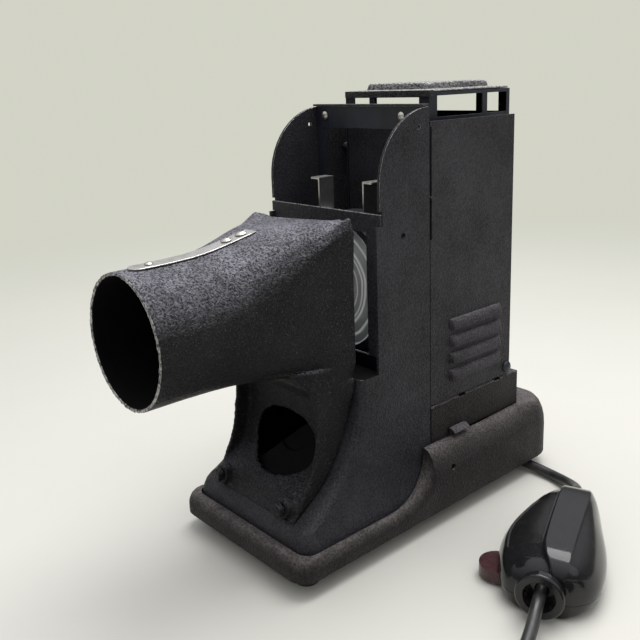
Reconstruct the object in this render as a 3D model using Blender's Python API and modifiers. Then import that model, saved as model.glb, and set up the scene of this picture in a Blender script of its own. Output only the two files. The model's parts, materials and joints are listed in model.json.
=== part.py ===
"""Lantern-slide projector: cast nose on a leg, slide slot, lift-out condenser, lift-off lamp house, cord.

Metres, +Z up. The lens looks along -Y and +X is the side with the cord. The origin is on the table,
under the middle of the projector without its cord.
"""
import math

import bmesh
import bpy
from mathutils import Matrix, Vector

# Fits shared by all pieces
GAP = 0.0003
RUN_CLEAR = 0.0008
OVERRUN = 0.004
WELD = 0.00001

# Base tray: a ring of pressed sheet, low in front and with a high round shoulder behind
TRAY_HALF_WIDTH = 0.075
TRAY_FRONT_Y = -0.115
TRAY_REAR_Y = 0.190
TRAY_BOTTOM_Z = 0.0135
TRAY_WALL = 0.0020
TRAY_FLANGE = 0.0060
TRAY_FRONT_RADIUS = 0.014
TRAY_REAR_RADIUS = 0.030
RIM_Z = 0.029
RIM_ROLL_WIDTH = 0.0055
RIM_ROLL_HEIGHT = 0.010
SHOULDER_Z = 0.065
SHOULDER_ROLL_WIDTH = 0.0125
SHOULDER_ROLL_HEIGHT = 0.027
SHOULDER_START_Y = -0.022
SHOULDER_END_Y = 0.0226
REAR_ROLL_WIDTH = 0.016
TRAY_HOLE_RADIUS = 0.0024
TRAY_HOLE_Y = 0.044
TRAY_HOLE_Z = 0.0456
TONGUE_Y = 0.064
TONGUE_LENGTH = 0.020
TONGUE_HEIGHT = 0.0058
TONGUE_THICKNESS = 0.0016

# Bottom plate and feet
BOTTOM_PLATE = 0.0015
FOOT_RADIUS = 0.0105
FOOT_TAPER = 0.0012
FOOT_FRONT_MARGIN = 0.022
FOOT_FRONT_X = TRAY_HALF_WIDTH - FOOT_FRONT_MARGIN
FOOT_FRONT_Y = -0.093
FOOT_REAR_MARGIN = 0.031
FOOT_REAR_X = TRAY_HALF_WIDTH - FOOT_REAR_MARGIN
FOOT_REAR_Y = 0.172
FOOT_EDGE = 0.0010

# Front housing: the ramp below and the two side sheets above
BODY_MARGIN = 0.015
BODY_HALF_WIDTH = TRAY_HALF_WIDTH - BODY_MARGIN
BODY_WALL = 0.0022
BODY_REAR_Y = 0.0327
BODY_FLARE = 0.0072
BODY_TOP_Z = 0.325
LEDGE_Z = 0.138
RAMP_FRONT_Y = -0.1042
RAMP_BACK_Y = -0.0405
RAMP_LOW_RADIUS = 0.010
RAMP_HIGH_RADIUS = 0.005
# Height share from rim to ledge, and how far forward of the slot the ramp stands there
RAMP_SHARES = ((0.0, 1.0), (0.065, 0.99), (0.10, 0.965), (0.13, 0.91), (0.152, 0.84), (0.185, 0.755),
               (0.257, 0.57), (0.376, 0.358), (0.505, 0.204), (0.642, 0.094), (0.76, 0.031),
               (0.88, 0.002), (1.0, 0.0))
SIDE_LAP = 0.0001
SIDE_SHEET = 0.0022
SIDE_LAP_DEPTH = 0.026
SLOT_BACK_Y = -0.023
ARC_RADIUS = 0.0523
ARC_BACK_Y = 0.033
NOTCH_Y = -0.0168
NOTCH_LOW_Z = 0.2457
NOTCH_HIGH_Z = 0.2562
SIDE_HOLE_RADIUS = 0.0023
SIDE_HOLE_Y = 0.0043
SIDE_HOLE_Z = 0.2357
TOP_HOLE_RADIUS = 0.0017
TOP_HOLE_Y = 0.0215
TOP_HOLE_Z = 0.3113
WELL_VENT_INNER_X = 0.012
WELL_VENT_MARGIN = 0.010
WELL_VENT_OUTER_X = BODY_HALF_WIDTH - WELL_VENT_MARGIN
WELL_VENT_FRONT_Y = -0.012
WELL_VENT_BACK_Y = 0.024
RAMP_VENT_RADIUS = 0.022
RAMP_VENT_Z = 0.094

# Aperture plate behind the slide slot
APERTURE_Y = -0.0195
APERTURE_SHEET = 0.0018
APERTURE_MARGIN = 0.014
APERTURE_HALF_WIDTH = BODY_HALF_WIDTH - APERTURE_MARGIN
APERTURE_LOW_Z = 0.149
APERTURE_HIGH_Z = 0.2405
APERTURE_TOP_Z = 0.254
APERTURE_BAND_Z = 0.2462

# Bulkhead between the condenser well and the lamp house
BULKHEAD_Y = 0.0290
BULKHEAD_SHEET = 0.0015
BULKHEAD_TOP_Z = 0.3269
BULKHEAD_CAP = 0.0015
BULKHEAD_CAP_DEPTH = 0.005
BULKHEAD_MARGIN = 0.0102
BULKHEAD_OPENING_HALF = BODY_HALF_WIDTH - BULKHEAD_MARGIN
BULKHEAD_OPENING_TOP_Z = 0.3086
BULKHEAD_OPENING_LOW_Z = 0.152
BULKHEAD_SCREW_LEFT_MARGIN = 0.0131
BULKHEAD_SCREW_LEFT_X = BULKHEAD_SCREW_LEFT_MARGIN - BODY_HALF_WIDTH
BULKHEAD_SCREW_RIGHT_MARGIN = 0.0235
BULKHEAD_SCREW_RIGHT_X = BODY_HALF_WIDTH - BULKHEAD_SCREW_RIGHT_MARGIN
BULKHEAD_SCREW_Z = 0.318
SCREW_HEAD_RADIUS = 0.0034
SCREW_HEAD_HEIGHT = 0.0020
SCREW_SHANK_RADIUS = 0.0016

# Nose casting: round barrel flaring to a square mouth, on a webbed leg
NOSE_FRONT_Y = -0.190
NOSE_REAR_Y = -0.041
MOUTH_MARGIN = 0.0045
MOUTH_HALF_WIDTH = BODY_HALF_WIDTH - MOUTH_MARGIN
FLARE = 0.010
BARREL_RADIUS = MOUTH_HALF_WIDTH - FLARE
BARREL_Z = 0.190
NOSE_WALL = 0.0026
MOUTH_TOP_Z = 0.2532
MOUTH_LOW_Z = 0.1365
BARREL_POWER = 2.0
MOUTH_POWER = 11.0
# Share of the nose length from the front, then the flare shares of width, top, underside and squareness
NOSE_SHARES = ((0.0, 0.0, 0.0, 0.0, 0.0), (0.20, 0.0, 0.0, 0.0, 0.0), (0.34, 0.01, 0.04, 0.01, 0.01),
               (0.44, 0.03, 0.13, 0.05, 0.025), (0.53, 0.07, 0.27, 0.13, 0.05),
               (0.62, 0.15, 0.43, 0.24, 0.09), (0.71, 0.27, 0.58, 0.40, 0.16),
               (0.80, 0.43, 0.73, 0.58, 0.28), (0.88, 0.62, 0.86, 0.77, 0.48),
               (0.95, 0.83, 0.95, 0.92, 0.78), (1.0, 1.0, 1.0, 1.0, 1.0))
LEG_TOP_MARGIN = 0.0075
LEG_TOP_HALF = BODY_HALF_WIDTH - LEG_TOP_MARGIN
LEG_SPLAY = 0.0045
LEG_FOOT_HALF = LEG_TOP_HALF - LEG_SPLAY
LEG_FOOT_Z = 0.0436
LEG_FOOT_Y = -0.0990
LEG_WAIST_Y = -0.0745
LEG_TOP_Z = 0.150
LEG_REAR_CLEAR = 0.0028
LEG_WEB = 0.0030
LEG_PLATE = 0.0030
LEG_RECESS = 0.0140
LEG_PAD_Z = 0.058
LEG_PAD_RISE = 0.015
LEG_HEAD_RISE = 0.019
# Height share from foot to top, and share of the way from the foot edge back to the waist
LEG_SHARES = ((0.0, 0.0), (0.17, 0.40), (0.26, 0.64), (0.35, 0.80), (0.47, 0.93), (0.60, 1.0),
              (0.78, 1.0), (0.90, 0.83), (1.0, 0.48))
WINDOW_MARGIN = 0.014
WINDOW_HALF_WIDTH = LEG_FOOT_HALF - WINDOW_MARGIN
WINDOW_HALF_HEIGHT = 0.0210
WINDOW_Z = 0.0830
WINDOW_POWER = 2.4
BOSS_RADIUS = 0.0075
BOSS_MARGIN = 0.011
BOSS_X = LEG_FOOT_HALF - BOSS_MARGIN
BOSS_Z = 0.0530
BOSS_FRONT_Y = -0.1010
BOLT_SHANK_RADIUS = 0.0025
BOLT_HEAD_FLATS = 0.0100
BOLT_HEAD_HEIGHT = 0.0050

# Spring strip on the nose, with the pin that locks a lens tube
STRIP_HALF_WIDTH = 0.0065
STRIP_SHEET = 0.0010
STRIP_FRONT_Y = -0.1815
STRIP_HINGE_Y = -0.1125
STRIP_REAR_Y = -0.0860
STRIP_BREAK = 0.0006
STRIP_SCREW_FRONT_Y = -0.1065
STRIP_SCREW_REAR_Y = -0.0945
STRIP_SCREW_RADIUS = 0.0042
STRIP_SCREW_HEIGHT = 0.0020
RIVET_Y = -0.1670
RIVET_RADIUS = 0.0030
RIVET_HEIGHT = 0.0015
PIN_RADIUS = 0.0015
PIN_HOLE_RADIUS = 0.0026
PIN_LENGTH = 0.0070

# Condenser: cell, two plano-convex lenses and two pull arms
CELL_MARGIN = 0.0053
CELL_RADIUS = BODY_HALF_WIDTH - CELL_MARGIN
CELL_WALL = 0.0030
CELL_FRONT_Y = -0.009
CELL_REAR_Y = 0.021
CELL_LIP = 0.0022
CELL_LIP_LENGTH = 0.0015
LENS_EDGE = 0.0030
LENS_BULGE = 0.0095
SPACER_WALL = 0.0020
ARM_X = 0.0245
ARM_WIDTH = 0.0150
ARM_SHEET = 0.0016
ARM_FRONT_Y = -0.0005
ARM_RISE = 0.0248
ARM_TAB = 0.0090
ARM_FOOT = 0.0040

# Lamp pan that carries the lamp house, and what stands in it
PAN_OVERLAP = 0.0005
PAN_HALF_WIDTH = BODY_HALF_WIDTH + PAN_OVERLAP
PAN_REAR_Y = 0.1465
PAN_TOP_Z = 0.0950
PAN_SHEET = 0.0016
PAN_FLANGE = 0.0140
PAN_FRONT_Z = 0.060
PAN_NOTCH_Y = 0.0715
PAN_NOTCH_REAR_Y = 0.1180
PAN_NOTCH_HALF = 0.0040
PAN_NOTCH_DEPTH = 0.0018
CHIMNEY_MARGIN = 0.015
CHIMNEY_HALF_WIDTH = BODY_HALF_WIDTH - CHIMNEY_MARGIN
LAMP_Y = 0.094
LAMP_BULB_RADIUS = 0.0190
LAMP_TOP_Z = 0.248
LAMP_NECK_RADIUS = 0.0125
LAMP_NECK_Z = 0.130
LAMP_BASE_RADIUS = 0.0150
LAMP_BASE_Z = 0.100
SOCKET_RADIUS = 0.0200
BRACKET_HALF_WIDTH = 0.022
BRACKET_LENGTH = 0.054
BRACKET_SHEET = 0.0020
BRACKET_Z = 0.0640
BRACKET_FOOT = 0.012
MIRROR_MARGIN = 0.013
MIRROR_RADIUS = CHIMNEY_HALF_WIDTH - MIRROR_MARGIN
MIRROR_DEPTH = 0.0085
MIRROR_SHEET = 0.0015
MIRROR_Y = 0.124
MIRROR_POST_RADIUS = 0.0030

# Lamp house: chimney, roof, side jackets with louvres
CHIMNEY_FRONT_Y = 0.050
CHIMNEY_REAR_Y = 0.149
CHIMNEY_SHEET = 0.0012
ROOF_Z = 0.336
ROOF_SHEET = 0.0015
ROOF_CORNER = 0.004
ROOF_ROUND = 0.0016
LID_RISE = 0.0055
LID_MARGIN_X = 0.0105
LID_MARGIN_Y = 0.0110
LID_CORNER = 0.006
LID_SLOPE = 0.0020
VENT_TOP_MARGIN = 0.0045
VENT_TOP_Z = ROOF_Z - VENT_TOP_MARGIN
VENT_HEIGHT = 0.0155
VENT_LOW_Z = VENT_TOP_Z - VENT_HEIGHT
VENT_FRONT_MARGIN = 0.0090
VENT_MULLION_Y = 0.1165
VENT_MULLION = 0.0062
VENT_REAR_MARGIN = 0.0045
VENT_END_MARGIN = 0.0105
VENT_MULLION_X = 0.0147
LIGHT_HOLE_MARGIN = 0.005
LIGHT_HOLE_RADIUS = CHIMNEY_HALF_WIDTH - LIGHT_HOLE_MARGIN
LIGHT_HOLE_Z = 0.193
JACKET_HALF_WIDTH = BODY_HALF_WIDTH
JACKET_SHEET = 0.0012
JACKET_FRONT_Y = 0.0334
JACKET_REAR_Y = 0.1350
JACKET_DROP = 0.0216
JACKET_TOP_Z = ROOF_Z - JACKET_DROP
JACKET_LOW_Z = 0.0966
JACKET_RETURN = 0.0100
LOUVRE_COUNT = 4
LOUVRE_PITCH = 0.0140
LOUVRE_FIRST_Z = 0.1114
LOUVRE_FRONT_Y = 0.0555
LOUVRE_LENGTH = 0.0650
LOUVRE_HEIGHT = 0.0085
LOUVRE_RISE = 0.0042
LOUVRE_SHEET = 0.0010
LOUVRE_END = 0.0050
STANDOFF_RADIUS = 0.0040
STANDOFF_FRONT_Y = 0.0620
STANDOFF_REAR_Y = 0.1260
STANDOFF_LOW_Z = 0.190
STANDOFF_DROP = 0.046
STANDOFF_HIGH_Z = ROOF_Z - STANDOFF_DROP
JACKET_SCREW_Y = 0.1305
JACKET_SCREW_Z = 0.1024
JACKET_SCREW_RADIUS = 0.0052
JACKET_SCREW_HEIGHT = 0.0030
JACKET_SCREW_SHANK = 0.0020

# Cord, its clamp under the base, and the switch on it
CORD_RADIUS = 0.00425
CLAMP_MARGIN = 0.013
CLAMP_X = TRAY_HALF_WIDTH - CLAMP_MARGIN
CLAMP_Y = 0.1540
CLAMP_LENGTH = 0.024
CLAMP_HALF_WIDTH = 0.0068
CLAMP_EXIT_Z = 0.0066
SWITCH_FRONT = (0.1905, -0.0085)
SWITCH_HEADING = (-0.3770, 0.9262)
SWITCH_LENGTH = 0.118
SWITCH_HALF_WIDTH = 0.0355
SWITCH_TOP_Z = 0.0430
SWITCH_SPLIT_Z = 0.0115
SWITCH_FLOOR_Z = 0.0003
SWITCH_RIDGE_HALF = 0.0145
SWITCH_CORD_Z = 0.0195
SWITCH_CORD_REAR_Z = 0.0200
COLLAR_RADIUS = 0.0162
COLLAR_BORE = 0.0105
COLLAR_LENGTH = 0.0095
COLLAR_REAR_RADIUS = 0.0100
COLLAR_REAR_BORE = 0.0052
COLLAR_REAR_LENGTH = 0.0060
COLLAR_LIP = 0.0022
CORD_SOCKET_DEPTH = 0.0060
LEVER_PIVOT_SHARE = 0.27
LEVER_OFFSET = 0.014
LEVER_REACH = 0.0365
LEVER_DISC_RADIUS = 0.0150
LEVER_LOBE_RADIUS = 0.0135
LEVER_HEIGHT = 0.0085
LEVER_PIN_RADIUS = 0.0025
LEVER_SWING_DEG = 36.0
# The switch's half width and shoulder height along its length, as shares of the largest
SWITCH_SHARES = ((0.0, 0.52, 0.80), (0.04, 0.70, 0.88), (0.10, 0.86, 0.95), (0.18, 0.96, 0.99),
                 (0.28, 1.0, 1.0), (0.38, 0.99, 1.0), (0.50, 0.93, 1.0), (0.62, 0.81, 1.0),
                 (0.74, 0.70, 0.99), (0.85, 0.62, 0.96), (0.94, 0.53, 0.88), (1.0, 0.36, 0.72))

# The lead from the clamp to the switch, then the run from the switch to the coil: chosen by hand
LEAD_ROUTE = ((0.0730, 0.1541, 0.0062), (0.0850, 0.1541, 0.0052),
              (0.0975, 0.1528, 0.0050), (0.1100, 0.1484, 0.0066), (0.1213, 0.1407, 0.0100),
              (0.1300, 0.1320, 0.0140), (0.1365, 0.1225, 0.0178), (0.1411, 0.1128, 0.0198),
              (0.1445, 0.1045, 0.0200), (0.14828, 0.09523, 0.0200))
RUN_ROUTE = ((0.18834, -0.00317, 0.0195), (0.1914, -0.0107, 0.0195), (0.1946, -0.0185, 0.0188),
             (0.1978, -0.0263, 0.0164), (0.2013, -0.0350, 0.0125), (0.2052, -0.0464, 0.0084),
             (0.2090, -0.0580, 0.0063), (0.2124, -0.0684, 0.0057), (0.2161, -0.0776, 0.0057),
             (0.2198, -0.0869, 0.0057))
TAIL_ROUTE = ((0.3392, -0.0365, 0.0149), (0.3360, -0.0260, 0.0149), (0.3340, -0.0150, 0.0149),
              (0.3330, -0.0040, 0.0149), (0.3327, 0.0060, 0.0149))
COIL_CENTRE = (0.2868, -0.0798)
COIL_MEAN_RADIUS = 0.0510
COIL_LAYER_TURNS = 3
COIL_PITCH = 0.0092
COIL_FLOOR_Z = 0.0057
COIL_START_DEG = 202.0
COIL_CLIMB_BULGE = 0.0014
LOOP_POINTS = 24
TIE_WIDTH = 0.012
TIE_SHEET = 0.0008
TIE_CLEAR = 0.0011
TIE_DEG = 300.0
PLUG_RADIUS = 0.0140
PLUG_NECK_RADIUS = 0.0075
PLUG_LENGTH = 0.0340
PLUG_NECK = 0.0100
BLADE_LENGTH = 0.0170
BLADE_WIDTH = 0.0063
BLADE_SHEET = 0.0015
BLADE_SPREAD = 0.0064

ARC_STEPS = 12
ROUND_SIDES = 32
PROFILE_STEPS = 16
SMALL_SIDES = 12
TUBE_RESOLUTION = 2
COIL_RESOLUTION = 1


def clear_scene():
    for thing in list(bpy.data.objects):
        bpy.data.objects.remove(thing, do_unlink=True)


def new_collection(name):
    group = bpy.data.collections.new(name)
    bpy.context.scene.collection.children.link(group)
    return group


clear_scene()
PARTS = new_collection("slide_projector")
CUTTERS = new_collection("cutters")


def finish(name, colour, roughness, metallic=0.0):
    material = bpy.data.materials.new(name)
    material.use_nodes = True
    shader = material.node_tree.nodes["Principled BSDF"]
    shader.inputs["Base Color"].default_value = (*colour, 1.0)
    shader.inputs["Roughness"].default_value = roughness
    shader.inputs["Metallic"].default_value = metallic
    return material


CRINKLE = finish("crinkle_black", (0.028, 0.027, 0.030), 0.55)
SMOOTH_BLACK = finish("smooth_black", (0.018, 0.019, 0.022), 0.45)
BARE_METAL = finish("bare_metal", (0.62, 0.61, 0.58), 0.35, 1.0)
GLASS = finish("clear_glass", (0.80, 0.86, 0.86), 0.05)
BRASS = finish("brass", (0.60, 0.45, 0.20), 0.35, 1.0)
PORCELAIN = finish("porcelain", (0.80, 0.78, 0.72), 0.40)
RUBBER = finish("black_rubber", (0.020, 0.020, 0.020), 0.80)
PHENOLIC = finish("black_phenolic", (0.012, 0.012, 0.013), 0.15)
MAROON = finish("maroon_phenolic", (0.115, 0.038, 0.038), 0.35)


# Building tools

def put(thing, collection):
    """Link an object and hide it if it only cuts or joins."""
    collection.objects.link(thing)
    if collection is CUTTERS:
        thing.hide_render = True
        thing.display_type = "WIRE"
    return thing


def solid(name, mesh, material, collection=None, smooth=True):
    if material is not None:
        mesh.materials.clear()
        mesh.materials.append(material)
    if smooth:
        mesh.shade_smooth()
        mesh.set_sharp_from_angle(angle=math.radians(40))
    return put(bpy.data.objects.new(name, mesh), collection or PARTS)


def mesh_from(bm, name):
    bmesh.ops.recalc_face_normals(bm, faces=bm.faces)
    mesh = bpy.data.meshes.new(name)
    bm.to_mesh(mesh)
    bm.free()
    return mesh


def evaluated_mesh(thing):
    bpy.context.view_layer.update()
    graph = bpy.context.evaluated_depsgraph_get()
    mesh = bpy.data.meshes.new_from_object(thing.evaluated_get(graph))
    mesh.transform(thing.matrix_world)
    return mesh


def box(name, low, high, material=None, collection=None, round_edge=0.0):
    bm = bmesh.new()
    bmesh.ops.create_cube(bm, size=1.0)
    low, high = Vector(low), Vector(high)
    middle = (low + high) / 2
    for vert in bm.verts:
        vert.co = Vector(v * s for v, s in zip(vert.co, high - low)) + middle
    thing = solid(name, mesh_from(bm, name), material, collection, smooth=False)
    if round_edge:
        bevel(thing, round_edge)
    return thing


def bevel(thing, width, segments=2, angle=35):
    modifier = thing.modifiers.new("round_edges", "BEVEL")
    modifier.width = width
    modifier.segments = segments
    modifier.limit_method = "ANGLE"
    modifier.angle_limit = math.radians(angle)


def rod(name, radius, start, end, material=None, collection=None, sides=ROUND_SIDES):
    """A cylinder from one point to another."""
    start, end = Vector(start), Vector(end)
    bm = bmesh.new()
    bmesh.ops.create_cone(bm, cap_ends=True, segments=sides, radius1=radius, radius2=radius,
                          depth=(end - start).length)
    turn = (end - start).to_track_quat("Z", "Y").to_matrix().to_4x4()
    bmesh.ops.transform(bm, matrix=Matrix.Translation((start + end) / 2) @ turn, verts=bm.verts)
    return solid(name, mesh_from(bm, name), material, collection)


def turned(name, profile, centre, heading, material=None, collection=None, sides=ROUND_SIDES):
    """Turn a profile of (radius, distance along the heading) points about a line with a Screw."""
    mesh = bpy.data.meshes.new(name)
    count = len(profile)
    edges = [(i, i + 1) for i in range(count - 1)]
    if profile[0][0] > 0:
        edges.append((count - 1, 0))
    mesh.from_pydata([(r, 0.0, h) for r, h in profile], edges, [])
    thing = bpy.data.objects.new(name, mesh)
    put(thing, collection or PARTS)
    screw = thing.modifiers.new("turn", "SCREW")
    screw.steps = screw.render_steps = sides
    screw.use_merge_vertices = True
    screw.merge_threshold = WELD
    screw.use_smooth_shade = True
    if material is not None:
        mesh.materials.append(material)
    turn = Vector(heading).to_track_quat("Z", "Y").to_matrix().to_4x4()
    thing.matrix_world = Matrix.Translation(Vector(centre)) @ turn
    return thing


def floor_frame(z):
    return Matrix.Translation((0.0, 0.0, z))


def front_frame(y):
    """Drawing x is world X, drawing y is world Z, and the thickness lies about this Y."""
    return Matrix(((1, 0, 0, 0), (0, 0, -1, y), (0, 1, 0, 0), (0, 0, 0, 1)))


def side_frame(x):
    """Drawing x is world Y, drawing y is world Z, and the thickness lies about this X."""
    return Matrix(((0, 0, 1, x), (1, 0, 0, 0), (0, 1, 0, 0), (0, 0, 0, 1)))


def plate(name, outlines, thickness, frame, material=None, collection=None):
    """Fill flat outlines, the first the edge and the rest holes, and give them a thickness."""
    curve = bpy.data.curves.new(name, "CURVE")
    curve.dimensions = "2D"
    curve.fill_mode = "BOTH"
    curve.extrude = thickness / 2
    for outline in outlines:
        spline = curve.splines.new("POLY")
        spline.points.add(len(outline) - 1)
        for point, (x, y) in zip(spline.points, outline):
            point.co = (x, y, 0.0, 1.0)
        spline.use_cyclic_u = True
    drawn = put(bpy.data.objects.new(name + "_drawing", curve), CUTTERS)
    mesh = evaluated_mesh(drawn)
    bpy.data.objects.remove(drawn)
    bm = bmesh.new()
    bm.from_mesh(mesh)
    bmesh.ops.remove_doubles(bm, verts=bm.verts, dist=WELD)
    bmesh.ops.dissolve_limit(bm, angle_limit=math.radians(1), verts=bm.verts, edges=bm.edges)
    thing = solid(name, mesh_from(bm, name), material, collection)
    thing.matrix_world = frame
    return thing


def loft(name, rings, material=None, collection=None, closed=False):
    """Join rings of points into one skin, capped at both ends or closed on itself."""
    bm = bmesh.new()
    rows = [[bm.verts.new(point) for point in ring] for ring in rings]
    size = len(rows[0])
    spans = list(zip(rows, rows[1:])) + ([(rows[-1], rows[0])] if closed else [])
    for one, two in spans:
        for i in range(size):
            j = (i + 1) % size
            bm.faces.new((one[i], one[j], two[j], two[i]))
    if not closed:
        bm.faces.new(rows[0])
        bm.faces.new(rows[-1])
    return solid(name, mesh_from(bm, name), material, collection)


def tube(name, points, radius, resolution, material=None, collection=None):
    curve = bpy.data.curves.new(name, "CURVE")
    curve.dimensions = "3D"
    curve.bevel_depth = radius
    curve.bevel_resolution = resolution
    curve.use_fill_caps = True
    spline = curve.splines.new("POLY")
    spline.points.add(len(points) - 1)
    for point, place in zip(spline.points, points):
        point.co = (*place, 1.0)
    if material is not None:
        curve.materials.append(material)
    return put(bpy.data.objects.new(name, curve), collection or PARTS)


def combine(target, other, operation):
    modifier = target.modifiers.new(operation.lower(), "BOOLEAN")
    modifier.operation = operation
    modifier.object = other
    return target


def cut(target, *cutters):
    for cutter in cutters:
        combine(target, cutter, "DIFFERENCE")
    return target


def join(target, *others):
    for other in others:
        combine(target, other, "UNION")
    return target


def circle(x, y, radius, sides=ROUND_SIDES):
    turns = [math.tau * i / sides for i in range(sides)]
    return [(x + radius * math.cos(a), y + radius * math.sin(a)) for a in turns]


def rectangle(low_x, high_x, low_y, high_y, radius=0.0, steps=4):
    if not radius:
        return [(low_x, low_y), (high_x, low_y), (high_x, high_y), (low_x, high_y)]
    corners = ((high_x - radius, low_y + radius, -90), (high_x - radius, high_y - radius, 0),
               (low_x + radius, high_y - radius, 90), (low_x + radius, low_y + radius, 180))
    points = []
    for x, y, start in corners:
        for i in range(steps + 1):
            a = math.radians(start + 90 * i / steps)
            points.append((x + radius * math.cos(a), y + radius * math.sin(a)))
    return points


def superellipse(half_width, half_height, power, sides):
    points = []
    for i in range(sides):
        a = math.tau * i / sides
        c, s = math.cos(a), math.sin(a)
        reach = (abs(c) ** power + abs(s) ** power) ** (-1 / power)
        points.append((half_width * reach * c, half_height * reach * s))
    return points


def sheet_outline(points, thickness):
    """The closed outline of a bent sheet whose middle follows the points."""
    sides = ([], [])
    for i, point in enumerate(points):
        here = Vector(point)
        before = (here - Vector(points[i - 1])).normalized() if i else None
        after = (Vector(points[i + 1]) - here).normalized() if i + 1 < len(points) else None
        one, two = before or after, after or before
        middle = (one + two).normalized()
        normal = Vector((-middle.y, middle.x))
        reach = thickness / 2 / max(normal.dot(Vector((-one.y, one.x))), 0.3)
        sides[0].append(tuple(here + normal * reach))
        sides[1].append(tuple(here - normal * reach))
    return sides[0] + sides[1][::-1]


def share_value(shares, at, column=1):
    """Read a table of shares between its rows."""
    for low, high in zip(shares, shares[1:]):
        if at <= high[0]:
            part = (at - low[0]) / (high[0] - low[0])
            return low[column] + (high[column] - low[column]) * max(part, 0.0)
    return shares[-1][column]


def blend(low, high, part):
    return low + (high - low) * part


# Base tray

SEAT_CLEAR = 2 * RUN_CLEAR
FRONT_CORNER_STEPS = 5
REAR_CORNER_STEPS = 7
ROLL_STEPS = 5


def rim_z(y):
    """Height of the tray's top edge: low, then a concave rise to the shoulder."""
    if y <= SHOULDER_START_Y:
        return RIM_Z
    if y >= SHOULDER_END_Y:
        return SHOULDER_Z
    part = (y - SHOULDER_START_Y) / (SHOULDER_END_Y - SHOULDER_START_Y)
    return RIM_Z + (SHOULDER_Z - RIM_Z) * (1 - math.sqrt(1 - part * part))


def body_half_at(z):
    """Half width of the front housing, which flares like a plinth down to the rim."""
    part = (SHOULDER_Z - min(max(z, RIM_Z), SHOULDER_Z)) / (SHOULDER_Z - RIM_Z)
    return BODY_HALF_WIDTH + BODY_FLARE * part ** 1.5


def tray_places():
    """Places along the tray's straight side, close together where its edge rises."""
    start = TRAY_FRONT_Y + 2 * TRAY_FRONT_RADIUS
    places = [blend(start, SHOULDER_START_Y, i / 3) for i in range(3)]
    rise = SHOULDER_END_Y - SHOULDER_START_Y
    places += [SHOULDER_START_Y + rise * math.sin(math.radians(90) * i / 8) for i in range(9)]
    end = TRAY_REAR_Y - TRAY_REAR_RADIUS
    places += [blend(SHOULDER_END_Y + RUN_CLEAR, end, i / 4) for i in range(4)]
    return places


def half_outline(front, rear, front_radius, rear_radius, front_half, rear_half, side):
    points = [(0.0, front)]
    for i in range(FRONT_CORNER_STEPS + 1):
        a = math.radians(-90 + 90 * i / FRONT_CORNER_STEPS)
        x = front_half + front_radius * (math.cos(a) - 1)
        points.append((x, front + front_radius * (math.sin(a) + 1)))
    points += side
    for i in range(REAR_CORNER_STEPS + 1):
        a = math.radians(90 * i / REAR_CORNER_STEPS)
        points.append((rear_half + rear_radius * (math.cos(a) - 1), rear + rear_radius * (math.sin(a) - 1)))
    points.append((0.0, rear))
    return points


def tray_sections():
    places = tray_places()
    inner_side = [(body_half_at(rim_z(y)) + SEAT_CLEAR / 2 + GAP, y) for y in places]
    inner = half_outline(RAMP_FRONT_Y - RUN_CLEAR, PAN_REAR_Y + RUN_CLEAR, RAMP_LOW_RADIUS, TRAY_WALL,
                         inner_side[0][0], inner_side[-1][0], inner_side)
    skins = []
    for inset in (0.0, TRAY_WALL):
        half = TRAY_HALF_WIDTH - inset
        skins.append(half_outline(TRAY_FRONT_Y + inset, TRAY_REAR_Y - inset, TRAY_FRONT_RADIUS - inset,
                                  TRAY_REAR_RADIUS - inset, half, half, [(half, y) for y in places]))
    sections = []
    for edge, (outer, second) in zip(inner, zip(*skins)):
        sections.append(tray_section(Vector(outer), Vector(second), Vector(edge)))
    mirrored = [[(-x, y, z) for x, y, z in ring] for ring in sections[-2:0:-1]]
    return sections + mirrored


def tray_section(outer, second, edge):
    """Flange, side, rolled shoulder and lip on the outside, then the same inside by the wall."""
    top = rim_z(outer.y)
    rise = (top - RIM_Z) / (SHOULDER_Z - RIM_Z)
    inward = (edge - outer).normalized()
    room = (edge - outer).length
    roll_width = blend(RIM_ROLL_WIDTH, SHOULDER_ROLL_WIDTH, rise)
    roll_width = max(roll_width, min(REAR_ROLL_WIDTH, room / 2)) if outer.y > PAN_REAR_Y else roll_width
    roll_width = min(roll_width, room - TRAY_WALL / 2)
    roll_height = blend(RIM_ROLL_HEIGHT, SHOULDER_ROLL_HEIGHT, rise)
    foot = outer + inward * TRAY_FLANGE
    ring = [(*foot, TRAY_BOTTOM_Z), (*outer, TRAY_BOTTOM_Z)]
    for i in range(ROLL_STEPS + 1):
        a = math.radians(90 * i / ROLL_STEPS)
        across = outer + inward * roll_width * (1 - math.cos(a))
        ring.append((*across, top - roll_height * (1 - math.sin(a))))
    ring += [(*edge, top), (*edge, top - TRAY_WALL)]
    for i in reversed(range(ROLL_STEPS + 1)):
        a = math.radians(90 * i / ROLL_STEPS)
        across = second.lerp(outer + inward * roll_width, 1 - math.cos(a))
        ring.append((*across, top - TRAY_WALL - roll_height * (1 - math.sin(a))))
    ring += [(*second, TRAY_BOTTOM_Z + TRAY_WALL), (*foot, TRAY_BOTTOM_Z + TRAY_WALL)]
    return ring


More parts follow.
